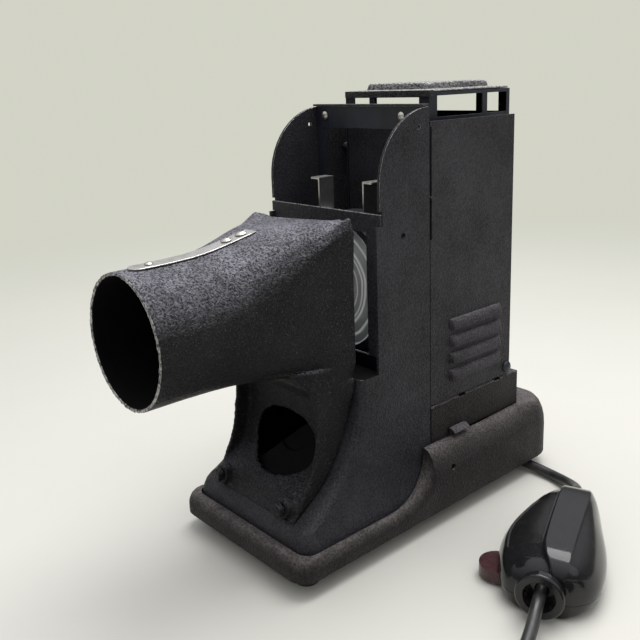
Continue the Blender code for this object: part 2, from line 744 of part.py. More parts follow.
def make_base():
    tray = loft("base_tray", tray_sections(), CRINKLE, closed=True)
    for side in (-1, 1):
        near = side * (PAN_HALF_WIDTH + GAP)
        far = near + side * TONGUE_THICKNESS
        low_y = TONGUE_Y - TONGUE_LENGTH / 2
        tongue = box("tongue", (min(near, far), low_y, SHOULDER_Z - TRAY_WALL - TONGUE_THICKNESS),
                     (max(near, far), low_y + TONGUE_LENGTH, SHOULDER_Z + TONGUE_HEIGHT), None, CUTTERS)
        join(tray, tongue)
    reach = TRAY_HALF_WIDTH + OVERRUN
    cut(tray, rod("tray_hole", TRAY_HOLE_RADIUS, (-reach, TRAY_HOLE_Y, TRAY_HOLE_Z),
                  (reach, TRAY_HOLE_Y, TRAY_HOLE_Z), None, CUTTERS, sides=PROFILE_STEPS))


PLATE_LOW_Z = TRAY_BOTTOM_Z + TRAY_WALL + GAP
PLATE_TOP_Z = PLATE_LOW_Z + BOTTOM_PLATE
STAND_Z = PLATE_TOP_Z + GAP
PLATE_VENT_RADIUS = 0.007
PLATE_VENT_PITCH = 0.022


def make_bottom_plate():
    inset = TRAY_WALL + GAP
    half = TRAY_HALF_WIDTH - inset
    right = half_outline(TRAY_FRONT_Y + inset, TRAY_REAR_Y - inset, TRAY_FRONT_RADIUS - inset,
                         TRAY_REAR_RADIUS - inset, half, half, [])
    outline = right + [(-x, y) for x, y in right[-2:0:-1]]
    vents = [circle(x * PLATE_VENT_PITCH, LAMP_Y + y * PLATE_VENT_PITCH, PLATE_VENT_RADIUS, SMALL_SIDES)
             for x in (-1, 0, 1) for y in (-1, 1)]
    plate("bottom_plate", [outline] + vents, BOTTOM_PLATE, floor_frame((PLATE_LOW_Z + PLATE_TOP_Z) / 2),
          SMOOTH_BLACK)
    height = PLATE_LOW_Z - GAP
    profile = ((0.0, height), (FOOT_RADIUS - FOOT_EDGE, height), (FOOT_RADIUS, height - FOOT_EDGE),
               (FOOT_RADIUS - FOOT_TAPER, FOOT_EDGE), (FOOT_RADIUS - FOOT_TAPER - FOOT_EDGE, 0.0), (0.0, 0.0))
    for hand, side in (("left", -1), ("right", 1)):
        for end, x, y in (("front", FOOT_FRONT_X, FOOT_FRONT_Y), ("rear", FOOT_REAR_X, FOOT_REAR_Y)):
            turned("foot_%s_%s" % (end, hand), profile, (side * x, y, 0.0), (0, 0, 1), RUBBER, sides=24)


# Front housing

def ramp_levels():
    """Heights of the ramp's rows, with how far forward each one stands."""
    rows = []
    for height, reach in RAMP_SHARES:
        rows.append((blend(RIM_Z, LEDGE_Z, height), blend(RAMP_BACK_Y, RAMP_FRONT_Y, reach), height))
    return rows


def ramp_point(z, away):
    """A point on the ramp's side line at this height, moved off the surface."""
    share = (z - RIM_Z) / (LEDGE_Z - RIM_Z)
    y = blend(RAMP_BACK_Y, RAMP_FRONT_Y, share_value(RAMP_SHARES, share))
    step = RUN_CLEAR
    ahead = blend(RAMP_BACK_Y, RAMP_FRONT_Y, share_value(RAMP_SHARES, share + step / (LEDGE_Z - RIM_Z)))
    slope = Vector((ahead - y, step)).normalized()
    return (y - slope.y * away, z + slope.x * away)


def housing_ring(z, half, front, rear, radius):
    ring = [(0.0, front)]
    for i in range(FRONT_CORNER_STEPS + 1):
        a = math.radians(-90 + 90 * i / FRONT_CORNER_STEPS)
        ring.append((half + radius * (math.cos(a) - 1), front + radius * (math.sin(a) + 1)))
    ring += [(half, rear), (0.0, rear)]
    full = ring + [(-x, y) for x, y in ring[-2:0:-1]]
    return [(x, y, z) for x, y in full]


def make_housing():
    outer = [housing_ring(STAND_Z, body_half_at(STAND_Z), RAMP_FRONT_Y, BODY_REAR_Y, RAMP_LOW_RADIUS)]
    inner = [housing_ring(STAND_Z - OVERRUN, body_half_at(STAND_Z) - BODY_WALL, RAMP_FRONT_Y + BODY_WALL,
                          BODY_REAR_Y + OVERRUN, RAMP_LOW_RADIUS - BODY_WALL)]
    for z, front, share in ramp_levels():
        radius = blend(RAMP_LOW_RADIUS, RAMP_HIGH_RADIUS, share)
        half = body_half_at(z)
        outer.append(housing_ring(z, half, front, BODY_REAR_Y, radius))
        inner.append(housing_ring(z - BODY_WALL, half - BODY_WALL, front + BODY_WALL, BODY_REAR_Y + OVERRUN,
                                  radius - BODY_WALL))
    housing = loft("front_housing", outer, CRINKLE)
    cut(housing, loft("housing_hollow", inner, None, CUTTERS))
    for side in (-1, 1):
        low, high = sorted((side * WELL_VENT_INNER_X, side * WELL_VENT_OUTER_X))
        cut(housing, box("well_vent", (low, WELL_VENT_FRONT_Y, LEDGE_Z - BODY_WALL - OVERRUN),
                         (high, WELL_VENT_BACK_Y, LEDGE_Z + OVERRUN), None, CUTTERS))
    front = blend(RAMP_BACK_Y, RAMP_FRONT_Y, 0.5)
    cut(housing, rod("ramp_vent", RAMP_VENT_RADIUS, (0.0, front, RAMP_VENT_Z),
                     (0.0, SLOT_BACK_Y, RAMP_VENT_Z), None, CUTTERS))
    centre_z = BODY_TOP_Z - ARC_RADIUS
    outline = [(BODY_REAR_Y, LEDGE_Z - SIDE_LAP_DEPTH), (BODY_REAR_Y, BODY_TOP_Z)]
    for i in range(1, ARC_STEPS + 1):
        a = math.radians(90 + 90 * i / ARC_STEPS)
        outline.append((ARC_BACK_Y + ARC_RADIUS * math.cos(a), centre_z + ARC_RADIUS * math.sin(a)))
    outline += [(outline[-1][0], NOTCH_HIGH_Z), (NOTCH_Y, NOTCH_HIGH_Z), (NOTCH_Y, NOTCH_LOW_Z),
                (SLOT_BACK_Y, NOTCH_LOW_Z), (SLOT_BACK_Y, LEDGE_Z - SIDE_LAP_DEPTH)]
    holes = [circle(SIDE_HOLE_Y, SIDE_HOLE_Z, SIDE_HOLE_RADIUS, PROFILE_STEPS),
             circle(TOP_HOLE_Y, TOP_HOLE_Z, TOP_HOLE_RADIUS, PROFILE_STEPS)]
    for side in (-1, 1):
        x = side * (BODY_HALF_WIDTH - SIDE_LAP - SIDE_SHEET / 2)
        join(housing, plate("side_sheet", [outline] + holes, SIDE_SHEET, side_frame(x), None, CUTTERS))


SHEET_INNER_X = BODY_HALF_WIDTH - SIDE_LAP - SIDE_SHEET


def make_aperture_plate():
    low, wide = SHEET_INNER_X - GAP, BODY_HALF_WIDTH - SIDE_LAP
    bottom = LEDGE_Z + GAP
    outline = [(-low, bottom), (low, bottom), (low, APERTURE_BAND_Z), (wide, APERTURE_BAND_Z),
               (wide, APERTURE_TOP_Z), (-wide, APERTURE_TOP_Z), (-wide, APERTURE_BAND_Z),
               (-low, APERTURE_BAND_Z)]
    window = rectangle(-APERTURE_HALF_WIDTH, APERTURE_HALF_WIDTH, APERTURE_LOW_Z, APERTURE_HIGH_Z)
    plate("aperture_plate", [outline, window], APERTURE_SHEET, front_frame(APERTURE_Y + APERTURE_SHEET / 2),
          CRINKLE)


def screw_profile(head_radius, head_height, shank_radius, shank_length):
    """A round-headed screw whose head stands above zero and whose shank goes below it."""
    crown = head_height / 3
    return ((0.0, head_height), (head_radius * 0.6, head_height - crown / 2), (head_radius, crown),
            (head_radius, 0.0), (shank_radius, 0.0), (shank_radius, -shank_length), (0.0, -shank_length))


def make_bulkhead():
    half = SHEET_INNER_X - GAP
    places = (BULKHEAD_SCREW_LEFT_X, BULKHEAD_SCREW_RIGHT_X)
    holes = [circle(x, BULKHEAD_SCREW_Z, SCREW_SHANK_RADIUS + GAP, PROFILE_STEPS) for x in places]
    opening = rectangle(-BULKHEAD_OPENING_HALF, BULKHEAD_OPENING_HALF, BULKHEAD_OPENING_LOW_Z,
                        BULKHEAD_OPENING_TOP_Z)
    outline = rectangle(-half, half, LEDGE_Z + GAP, BULKHEAD_TOP_Z - BULKHEAD_CAP / 2)
    middle = BULKHEAD_Y + BULKHEAD_SHEET / 2
    wall = plate("bulkhead", [outline, opening] + holes, BULKHEAD_SHEET, front_frame(middle), CRINKLE)
    wide = BODY_HALF_WIDTH - GAP
    cap = box("bulkhead_cap", (-wide, middle - BULKHEAD_CAP_DEPTH / 2, BODY_TOP_Z + GAP),
              (wide, middle + BULKHEAD_CAP_DEPTH / 2, BULKHEAD_TOP_Z), None, CUTTERS)
    join(wall, cap)
    profile = screw_profile(SCREW_HEAD_RADIUS, SCREW_HEAD_HEIGHT, SCREW_SHANK_RADIUS, 2 * BULKHEAD_SHEET)
    for hand, x in zip(("left", "right"), places):
        turned("bulkhead_screw_" + hand, profile, (x, BULKHEAD_Y - GAP, BULKHEAD_SCREW_Z), (0, -1, 0),
               BARE_METAL, sides=SMALL_SIDES)


# Nose casting

NOSE_SIDES = 48


def nose_section(share, inset=0.0):
    """Half width, top, underside and squareness of the nose at a share of its length."""
    width = blend(BARREL_RADIUS, MOUTH_HALF_WIDTH, share_value(NOSE_SHARES, share, 1)) - inset
    top = blend(BARREL_Z + BARREL_RADIUS, MOUTH_TOP_Z, share_value(NOSE_SHARES, share, 2)) - inset
    low = blend(BARREL_Z - BARREL_RADIUS, MOUTH_LOW_Z, share_value(NOSE_SHARES, share, 3)) + inset
    power = blend(BARREL_POWER, MOUTH_POWER, share_value(NOSE_SHARES, share, 4))
    return width, top, low, power


def nose_top(y):
    return nose_section((y - NOSE_FRONT_Y) / (NOSE_REAR_Y - NOSE_FRONT_Y))[1]


def nose_seat(y):
    """The point on the nose's top line at this place, and the way out of the surface there."""
    slope = Vector((0.0, RUN_CLEAR, nose_top(y + RUN_CLEAR) - nose_top(y)))
    return Vector((0.0, y, nose_top(y))), Vector((0.0, -slope.z, slope.y)).normalized()


def nose_rings(inset, overrun):
    rings = []
    for row in NOSE_SHARES:
        share = row[0]
        width, top, low, power = nose_section(share, inset)
        y = blend(NOSE_FRONT_Y, NOSE_REAR_Y, share)
        y += overrun * ((share == NOSE_SHARES[-1][0]) - (share == NOSE_SHARES[0][0]))
        middle = (top + low) / 2
        outline = superellipse(width, (top - low) / 2, power, NOSE_SIDES)
        rings.append([(x, y, middle + z) for x, z in outline])
    return rings


def leg_front(z):
    part = (z - LEG_FOOT_Z) / (LEG_TOP_Z - LEG_FOOT_Z)
    return blend(LEG_FOOT_Y, LEG_WAIST_Y, share_value(LEG_SHARES, part))


def leg_half(z):
    return blend(LEG_FOOT_HALF, LEG_TOP_HALF, (z - LEG_FOOT_Z) / (LEG_TOP_Z - LEG_FOOT_Z))


def leg_rear(z):
    """The leg's back edge: on the ramp at the foot and mouth, and off it between them."""
    part = min(max((z - LEG_PAD_Z) / (LEDGE_Z - LEG_PAD_Z), 0.0), 1.0)
    return ramp_point(z, 2 * GAP + LEG_REAR_CLEAR * math.sin(math.pi * part))


def leg_recess(z):
    """How far the front web is set back between the side webs."""
    rise = min(max((z - LEG_PAD_Z) / LEG_PAD_RISE, 0.0), 1.0)
    fall = min(max((LEDGE_Z - z) / LEG_HEAD_RISE, 0.0), 1.0)
    return LEG_RECESS * math.sin(math.radians(90) * rise) * fall


def leg_block(name, outline, inset, collection, material=None):
    """Draw in the side view, then taper the width with height."""
    block = plate(name, [outline], 2 * LEG_TOP_HALF, side_frame(0.0), material, collection)
    block.data.transform(block.matrix_world)
    block.matrix_world = Matrix.Identity(4)
    for vert in block.data.vertices:
        vert.co.x *= (leg_half(vert.co.z) - inset) / LEG_TOP_HALF
    return block


def make_nose():
    nose = loft("nose_casting", nose_rings(0.0, 0.0), CRINKLE)
    rows = [blend(LEG_FOOT_Z, LEG_TOP_Z, row[0]) for row in LEG_SHARES]
    front = [(leg_front(z), z) for z in rows]
    back_rows = [z for z, _, _ in ramp_levels() if LEG_FOOT_Z + RUN_CLEAR < z < LEDGE_Z]
    rear = [leg_rear(z) for z in back_rows]
    top_back = (NOSE_REAR_Y - RUN_CLEAR, LEG_TOP_Z)
    leg = leg_block("leg", front + [top_back] + rear[::-1], 0.0, CUTTERS)
    join(nose, leg)
    for side in (-1, 1):
        join(nose, rod("boss", BOSS_RADIUS, (side * BOSS_X, BOSS_FRONT_Y, BOSS_Z),
                       (side * BOSS_X, leg_rear(BOSS_Z)[0] - RUN_CLEAR, BOSS_Z), None, CUTTERS, sides=24))
    levels = [blend(LEG_PAD_Z, LEG_PAD_Z + LEG_PAD_RISE, i / 4) for i in range(4)]
    levels += [blend(LEG_PAD_Z + LEG_PAD_RISE, LEDGE_Z - LEG_PLATE, i / 5) for i in range(6)]
    relief = [ramp_point(z, 1.5 * GAP) for z, _, _ in ramp_levels() if z < LEDGE_Z]
    relief += [(SLOT_BACK_Y, relief[-1][1]), (SLOT_BACK_Y, relief[0][1])]
    cut(nose, leg_block("ramp_relief", relief, -OVERRUN, CUTTERS))
    recess = [(leg_front(z) - OVERRUN, z) for z in levels]
    recess += [(leg_front(z) + leg_recess(z), z) for z in reversed(levels)]
    cut(nose, leg_block("leg_recess", recess, LEG_WEB, CUTTERS))
    hollow = [(leg_front(z) + leg_recess(z) + LEG_PLATE, z) for z in levels]
    hollow += [(SLOT_BACK_Y, levels[-1]), (SLOT_BACK_Y, levels[0])]
    cut(nose, leg_block("leg_hollow", hollow, LEG_WEB, CUTTERS))
    window = [(x, WINDOW_Z + z) for x, z in
              superellipse(WINDOW_HALF_WIDTH, WINDOW_HALF_HEIGHT, WINDOW_POWER, ROUND_SIDES)]
    depth = SLOT_BACK_Y - LEG_FOOT_Y
    cut(nose, plate("leg_window", [window], depth, front_frame(LEG_FOOT_Y + depth / 2), None, CUTTERS))
    cut(nose, loft("nose_bore", nose_rings(NOSE_WALL, OVERRUN), None, CUTTERS))
    for side in (-1, 1):
        cut(nose, rod("bolt_hole", BOLT_SHANK_RADIUS + GAP, (side * BOSS_X, BOSS_FRONT_Y - OVERRUN, BOSS_Z),
                      (side * BOSS_X, BOSS_FRONT_Y + BOLT_LENGTH + GAP, BOSS_Z), None, CUTTERS,
                      sides=PROFILE_STEPS))
    for y, radius in ((RIVET_Y, PIN_HOLE_RADIUS), (STRIP_SCREW_FRONT_Y, SCREW_SHANK_RADIUS + GAP),
                      (STRIP_SCREW_REAR_Y, SCREW_SHANK_RADIUS + GAP)):
        place, normal = nose_seat(y)
        inner = place - normal * (2 * NOSE_WALL + OVERRUN)
        cut(nose, rod("nose_hole", radius, inner, place + normal * OVERRUN, None, CUTTERS, sides=SMALL_SIDES))
    for hand, side in (("left", -1), ("right", 1)):
        place = (side * BOSS_X, BOSS_FRONT_Y - GAP, BOSS_Z)
        head = rod("nose_bolt_" + hand, BOLT_HEAD_FLATS / math.sqrt(3), place,
                   (place[0], place[1] - BOLT_HEAD_HEIGHT, place[2]), SMOOTH_BLACK, sides=6)
        head.data.shade_flat()
        shank = rod("shank", BOLT_SHANK_RADIUS, (place[0], place[1] - RUN_CLEAR, place[2]),
                    (place[0], place[1] + BOLT_LENGTH, place[2]), None, CUTTERS, sides=PROFILE_STEPS)
        join(head, shank)


BOLT_LENGTH = BOSS_RADIUS


# Spring strip

def strip_rings(start, end, tip):
    """Flat sections that follow the nose's top line, narrowed to a round tip at the front."""
    count = PROFILE_STEPS // 2
    rows = [blend(start, end, i / count) for i in range(1 if tip else 0, count + 1)]
    if tip:
        near = [start + STRIP_HALF_WIDTH * (1 - math.cos(math.radians(a))) for a in (12, 30, 50, 72, 90)]
        rows = near + rows[1:]
    rings = []
    for y in rows:
        into = max(0.0, 1 - (y - start) / STRIP_HALF_WIDTH) if tip else 0.0
        half = STRIP_HALF_WIDTH * math.sqrt(max(1 - into * into, 0.0))
        low = nose_top(y) + GAP
        high = low + STRIP_SHEET
        rings.append([(-half, y, low), (half, y, low), (half, y, high), (-half, y, high)])
    return rings


def make_strip():
    rings = strip_rings(STRIP_FRONT_Y, STRIP_HINGE_Y - STRIP_BREAK / 2, True)
    blade = loft("spring_blade", rings, BARE_METAL)
    rings = strip_rings(STRIP_HINGE_Y + STRIP_BREAK / 2, STRIP_REAR_Y, False)
    root = loft("spring_root", rings, BARE_METAL)
    top = nose_top(RIVET_Y) + GAP + STRIP_SHEET
    low, high = (0.0, RIVET_Y, top - OVERRUN), (0.0, RIVET_Y, top + OVERRUN)
    cut(blade, rod("rivet_hole", PIN_RADIUS + GAP, low, high, None, CUTTERS, sides=PROFILE_STEPS))
    turned("lock_pin", screw_profile(RIVET_RADIUS, RIVET_HEIGHT, PIN_RADIUS, PIN_LENGTH),
           (0.0, RIVET_Y, top + GAP), (0, 0, 1), BARE_METAL, sides=SMALL_SIDES)
    profile = screw_profile(STRIP_SCREW_RADIUS, STRIP_SCREW_HEIGHT, SCREW_SHANK_RADIUS, 2 * NOSE_WALL)
    for end, y in (("front", STRIP_SCREW_FRONT_Y), ("rear", STRIP_SCREW_REAR_Y)):
        place, normal = nose_seat(y)
        seat = place + normal * (2 * GAP + STRIP_SHEET)
        low, high = seat - normal * OVERRUN, seat + normal * OVERRUN
        cut(root, rod("strip_hole", SCREW_SHANK_RADIUS + GAP, low, high, None, CUTTERS, sides=PROFILE_STEPS))
        turned("strip_screw_" + end, profile, seat, normal, BARE_METAL, sides=SMALL_SIDES)


# Condenser

CELL_SIDES = 36
CELL_Z = LEDGE_Z + GAP + CELL_RADIUS
ARM_TOP_Z = CELL_Z + CELL_RADIUS + ARM_RISE
LENS_RADIUS = CELL_RADIUS - CELL_WALL - GAP
SEAT_RADIUS = LENS_RADIUS - SPACER_WALL - GAP
FRONT_LENS_Y = CELL_FRONT_Y + CELL_LIP_LENGTH + GAP
REAR_LENS_Y = CELL_REAR_Y - CELL_LIP_LENGTH - GAP


def ring_profile(outer, inner, low, high):
    return ((inner, high), (outer, high), (outer, low), (inner, low))


def lens_profile():
    """A plano-convex disc: flat at zero, with its bulge along the heading."""
    points = [(0.0, LENS_EDGE + LENS_BULGE)]
    for i in range(1, 5):
        part = i / 5
        points.append((SEAT_RADIUS * part, LENS_EDGE + LENS_BULGE * (1 - part * part)))
    return points + [(SEAT_RADIUS, LENS_EDGE), (LENS_RADIUS, LENS_EDGE), (LENS_RADIUS, 0.0), (0.0, 0.0)]


def make_condenser():
    bore = CELL_RADIUS - CELL_WALL
    profile = ((bore, CELL_REAR_Y), (CELL_RADIUS, CELL_REAR_Y), (CELL_RADIUS, CELL_FRONT_Y),
               (bore - CELL_LIP, CELL_FRONT_Y), (bore - CELL_LIP, CELL_FRONT_Y + CELL_LIP_LENGTH),
               (bore, CELL_FRONT_Y + CELL_LIP_LENGTH))
    axis = (0.0, 0.0, CELL_Z)
    turned("condenser_cell", profile, axis, (0, 1, 0), SMOOTH_BLACK, sides=CELL_SIDES)
    ring = ring_profile(LENS_RADIUS, bore - CELL_LIP, REAR_LENS_Y + GAP, CELL_REAR_Y)
    turned("condenser_retainer", ring, axis, (0, 1, 0), SMOOTH_BLACK, sides=CELL_SIDES)
    ring = ring_profile(LENS_RADIUS, LENS_RADIUS - SPACER_WALL, FRONT_LENS_Y + LENS_EDGE + GAP,
                        REAR_LENS_Y - LENS_EDGE - GAP)
    turned("lens_spacer", ring, axis, (0, 1, 0), SMOOTH_BLACK, sides=CELL_SIDES)
    turned("front_lens", lens_profile(), (0.0, FRONT_LENS_Y, CELL_Z), (0, 1, 0), GLASS, sides=CELL_SIDES)
    turned("rear_lens", lens_profile(), (0.0, REAR_LENS_Y, CELL_Z), (0, -1, 0), GLASS, sides=CELL_SIDES)
    reach = CELL_RADIUS + GAP + ARM_SHEET / 2
    for name, side in (("pull_arm_left", -1), ("pull_arm_right", 1)):
        start = math.asin(ARM_X / reach)
        foot = [start - ARM_FOOT * i / reach for i in (2, 1, 0)]
        line = [(side * reach * math.sin(a), CELL_Z + reach * math.cos(a)) for a in foot]
        top = ARM_TOP_Z - ARM_SHEET / 2
        line += [(side * ARM_X, top), (side * (ARM_X + ARM_TAB), top)]
        plate(name, [sheet_outline(line, ARM_SHEET)], ARM_WIDTH, front_frame(ARM_FRONT_Y + ARM_WIDTH / 2),
              BARE_METAL)


# Lamp pan and lamp

def make_pan():
    front = BODY_REAR_Y + RUN_CLEAR
    top = PAN_TOP_Z - PAN_SHEET / 2
    walls = plate("lamp_pan", [rectangle(-PAN_HALF_WIDTH, PAN_HALF_WIDTH, front, PAN_REAR_Y),
                               rectangle(-PAN_HALF_WIDTH + PAN_SHEET, PAN_HALF_WIDTH - PAN_SHEET,
                                         front + PAN_SHEET, PAN_REAR_Y - PAN_SHEET)],
                  top - STAND_Z, floor_frame((top + STAND_Z) / 2), CRINKLE)
    half = PAN_HALF_WIDTH - SIDE_LAP
    hole_half = CHIMNEY_HALF_WIDTH - CHIMNEY_SHEET - RUN_CLEAR
    frame = plate("pan_frame", [rectangle(-half, half, front + SIDE_LAP, PAN_REAR_Y - SIDE_LAP),
                                rectangle(-hole_half, hole_half, CHIMNEY_FRONT_Y + CHIMNEY_SHEET + RUN_CLEAR,
                                          PAN_REAR_Y - PAN_FLANGE)],
                  PAN_SHEET, floor_frame(PAN_TOP_Z - PAN_SHEET / 2), None, CUTTERS)
    join(walls, frame)
    reach = PAN_HALF_WIDTH + OVERRUN
    for y in (PAN_NOTCH_Y, PAN_NOTCH_REAR_Y):
        for side in (-1, 1):
            low, high = sorted((side * reach, side * (PAN_HALF_WIDTH - 2 * PAN_SHEET)))
            cut(walls, box("pan_notch", (low, y - PAN_NOTCH_HALF, PAN_TOP_Z - PAN_NOTCH_DEPTH),
                           (high, y + PAN_NOTCH_HALF, PAN_TOP_Z + OVERRUN), None, CUTTERS))
    cut(walls, box("pan_air", (-CHIMNEY_HALF_WIDTH, front - OVERRUN, STAND_Z + PAN_FLANGE),
                   (CHIMNEY_HALF_WIDTH, front + PAN_SHEET + OVERRUN, PAN_FRONT_Z), None, CUTTERS))


def make_lamp():
    half = BRACKET_HALF_WIDTH
    foot_z = STAND_Z + BRACKET_SHEET / 2
    line = [(-half - BRACKET_FOOT, foot_z), (-half, foot_z), (-half, BRACKET_Z), (half, BRACKET_Z),
            (half, foot_z), (half + BRACKET_FOOT, foot_z)]
    plate("socket_bracket", [sheet_outline(line, BRACKET_SHEET)], BRACKET_LENGTH,
          front_frame(LAMP_Y + BRACKET_SHEET), SMOOTH_BLACK)
    axis = (0.0, LAMP_Y, 0.0)
    seat = BRACKET_Z + BRACKET_SHEET / 2 + GAP
    bore = LAMP_BASE_RADIUS + GAP
    lip = LAMP_BASE_Z + (LAMP_NECK_Z - LAMP_BASE_Z) / 2
    profile = ((bore, lip), (SOCKET_RADIUS, lip), (SOCKET_RADIUS, seat), (0.0, seat),
               (0.0, LAMP_BASE_Z - GAP), (bore, LAMP_BASE_Z - GAP))
    turned("lamp_socket", profile, axis, (0, 0, 1), PORCELAIN, sides=24)
    profile = ((0.0, LAMP_NECK_Z - GAP), (LAMP_BASE_RADIUS, LAMP_NECK_Z - GAP),
               (LAMP_BASE_RADIUS, LAMP_BASE_Z), (0.0, LAMP_BASE_Z))
    turned("lamp_base", profile, axis, (0, 0, 1), BRASS, sides=24)
    crown = LAMP_BULB_RADIUS
    profile = [(0.0, LAMP_TOP_Z)]
    for i in range(1, 7):
        a = math.radians(90 * i / 6)
        profile.append((LAMP_BULB_RADIUS * math.sin(a), LAMP_TOP_Z - crown * (1 - math.cos(a))))
    shoulder = LAMP_NECK_Z + LAMP_BULB_RADIUS
    profile += [(LAMP_BULB_RADIUS, shoulder), (LAMP_NECK_RADIUS, LAMP_NECK_Z + LAMP_NECK_RADIUS / 2),
                (LAMP_NECK_RADIUS, LAMP_NECK_Z), (0.0, LAMP_NECK_Z)]
    turned("lamp_bulb", profile, axis, (0, 0, 1), GLASS, sides=24)
    bowl = []
    for i in range(5):
        part = i / 4
        bowl.append((MIRROR_RADIUS * part, MIRROR_DEPTH * part * part))
    back = [(r, h - MIRROR_SHEET) for r, h in bowl]
    turned("mirror", bowl + back[::-1], (0.0, MIRROR_Y, LIGHT_HOLE_Z), (0, -1, 0), BARE_METAL, sides=24)
    post_y = MIRROR_Y + MIRROR_SHEET + GAP + MIRROR_POST_RADIUS
    rod("mirror_post", MIRROR_POST_RADIUS, (0.0, post_y, STAND_Z),
        (0.0, post_y, LIGHT_HOLE_Z + MIRROR_POST_RADIUS), BARE_METAL, sides=SMALL_SIDES)


# Lamp house

CHIMNEY_LOW_Z = PAN_TOP_Z + GAP
CHIMNEY_TOP_Z = ROOF_Z - ROOF_SHEET - GAP


def vent_spans(low, high, mullion):
    return ((low, mullion - VENT_MULLION / 2), (mullion + VENT_MULLION / 2, high))


def chimney_panel(name, half, place, frame, vents):
    """A flat sheet with vents at its top, drawn about its own middle."""
    holes = [rectangle(start, end, VENT_LOW_Z, VENT_TOP_Z) for start, end in vents]
    outline = rectangle(place - half, place + half, CHIMNEY_LOW_Z, CHIMNEY_TOP_Z)
    return plate(name, [outline] + holes, CHIMNEY_SHEET, frame, SMOOTH_BLACK)


def make_chimney():
    """Two side panels, and the front and rear panels let in between them."""
    half, front, rear = CHIMNEY_HALF_WIDTH, CHIMNEY_FRONT_Y, CHIMNEY_REAR_Y
    sheet = CHIMNEY_SHEET
    middle_y = (front + rear) / 2
    depth = (rear - front) / 2
    vents = vent_spans(front + VENT_FRONT_MARGIN, rear - VENT_REAR_MARGIN, VENT_MULLION_Y)
    chimney_panel("chimney_right", depth, middle_y, side_frame(half - sheet / 2), vents)
    vents = [(front + rear - high, front + rear - low) for low, high in vents]
    chimney_panel("chimney_left", depth, middle_y, side_frame(sheet / 2 - half), vents)
    edge = half - VENT_END_MARGIN
    between = half - sheet - GAP
    vents = vent_spans(-edge, edge, VENT_MULLION_X)
    chimney_panel("chimney_rear", between, 0.0, front_frame(rear - sheet / 2), vents)
    vents = [(-high, -low) for low, high in vents]
    panel = chimney_panel("chimney_front", between, 0.0, front_frame(front + sheet / 2), vents)
    cut(panel, rod("light_hole", LIGHT_HOLE_RADIUS, (0.0, front - OVERRUN, LIGHT_HOLE_Z),
                   (0.0, front + sheet + OVERRUN, LIGHT_HOLE_Z), None, CUTTERS))


def make_roof():
    half, front, rear = CHIMNEY_HALF_WIDTH, CHIMNEY_FRONT_Y, CHIMNEY_REAR_Y

    def ring(inset_x, inset_y, corner, z):
        points = rectangle(-half + inset_x, half - inset_x, front + inset_y, rear - inset_y, corner)
        return [(x, y, z) for x, y in points]

    low = ROOF_Z - ROOF_SHEET
    lid_x, lid_y, slope = LID_MARGIN_X, LID_MARGIN_Y, LID_SLOPE
    rings = [ring(0.0, 0.0, ROOF_CORNER, low), ring(0.0, 0.0, ROOF_CORNER, ROOF_Z - ROOF_ROUND / 2),
             ring(ROOF_ROUND / 2, ROOF_ROUND / 2, ROOF_CORNER, ROOF_Z),
             ring(lid_x, lid_y, LID_CORNER, ROOF_Z + GAP),
             ring(lid_x + slope / 2, lid_y + slope / 2, LID_CORNER, ROOF_Z + LID_RISE * 0.75),
             ring(lid_x + slope, lid_y + slope, LID_CORNER, ROOF_Z + LID_RISE * 0.94),
             ring(lid_x + 2 * slope, lid_y + 2 * slope, LID_CORNER, ROOF_Z + LID_RISE)]
    roof = loft("roof", rings, CRINKLE)
    inset = slope + ROOF_SHEET
    hollow = [ring(lid_x + inset, lid_y + inset, LID_CORNER / 2, low - OVERRUN),
              ring(lid_x + inset, lid_y + inset, LID_CORNER / 2, ROOF_Z + LID_RISE * 0.9 - ROOF_SHEET),
              ring(lid_x + inset + slope, lid_y + inset + slope, LID_CORNER / 2,
                   ROOF_Z + LID_RISE - ROOF_SHEET)]
    cut(roof, loft("roof_hollow", hollow, None, CUTTERS))


def louvre_rings(low_z, side, inset):
    """A pressed hood that opens downwards, with ends that run back into the sheet."""
    back = JACKET_HALF_WIDTH - JACKET_SHEET / 2 - inset * 2
    rise, height = LOUVRE_RISE - inset, LOUVRE_HEIGHT - inset
    bottom = low_z - inset / 2
    rings = []
    for part, size in ((0.0, 0.12), (0.35, 0.75), (1.0, 1.0)):
        rings.append((LOUVRE_FRONT_Y + inset + LOUVRE_END * part, size))
    rings += [(2 * LOUVRE_FRONT_Y + LOUVRE_LENGTH - y, size) for y, size in reversed(rings)]
    result = []
    for y, size in rings:
        ring = [(side * back, y, bottom), (side * back, y, low_z + height)]
        for i in range(6):
            a = math.radians(90 * i / 5)
            ring.append((side * (JACKET_HALF_WIDTH + rise * size * math.sin(a) - inset * (1 - size)), y,
                         blend(low_z, low_z + height, math.cos(a))))
        ring[-1] = (ring[-1][0], y, bottom)
        result.append(ring)
    return result


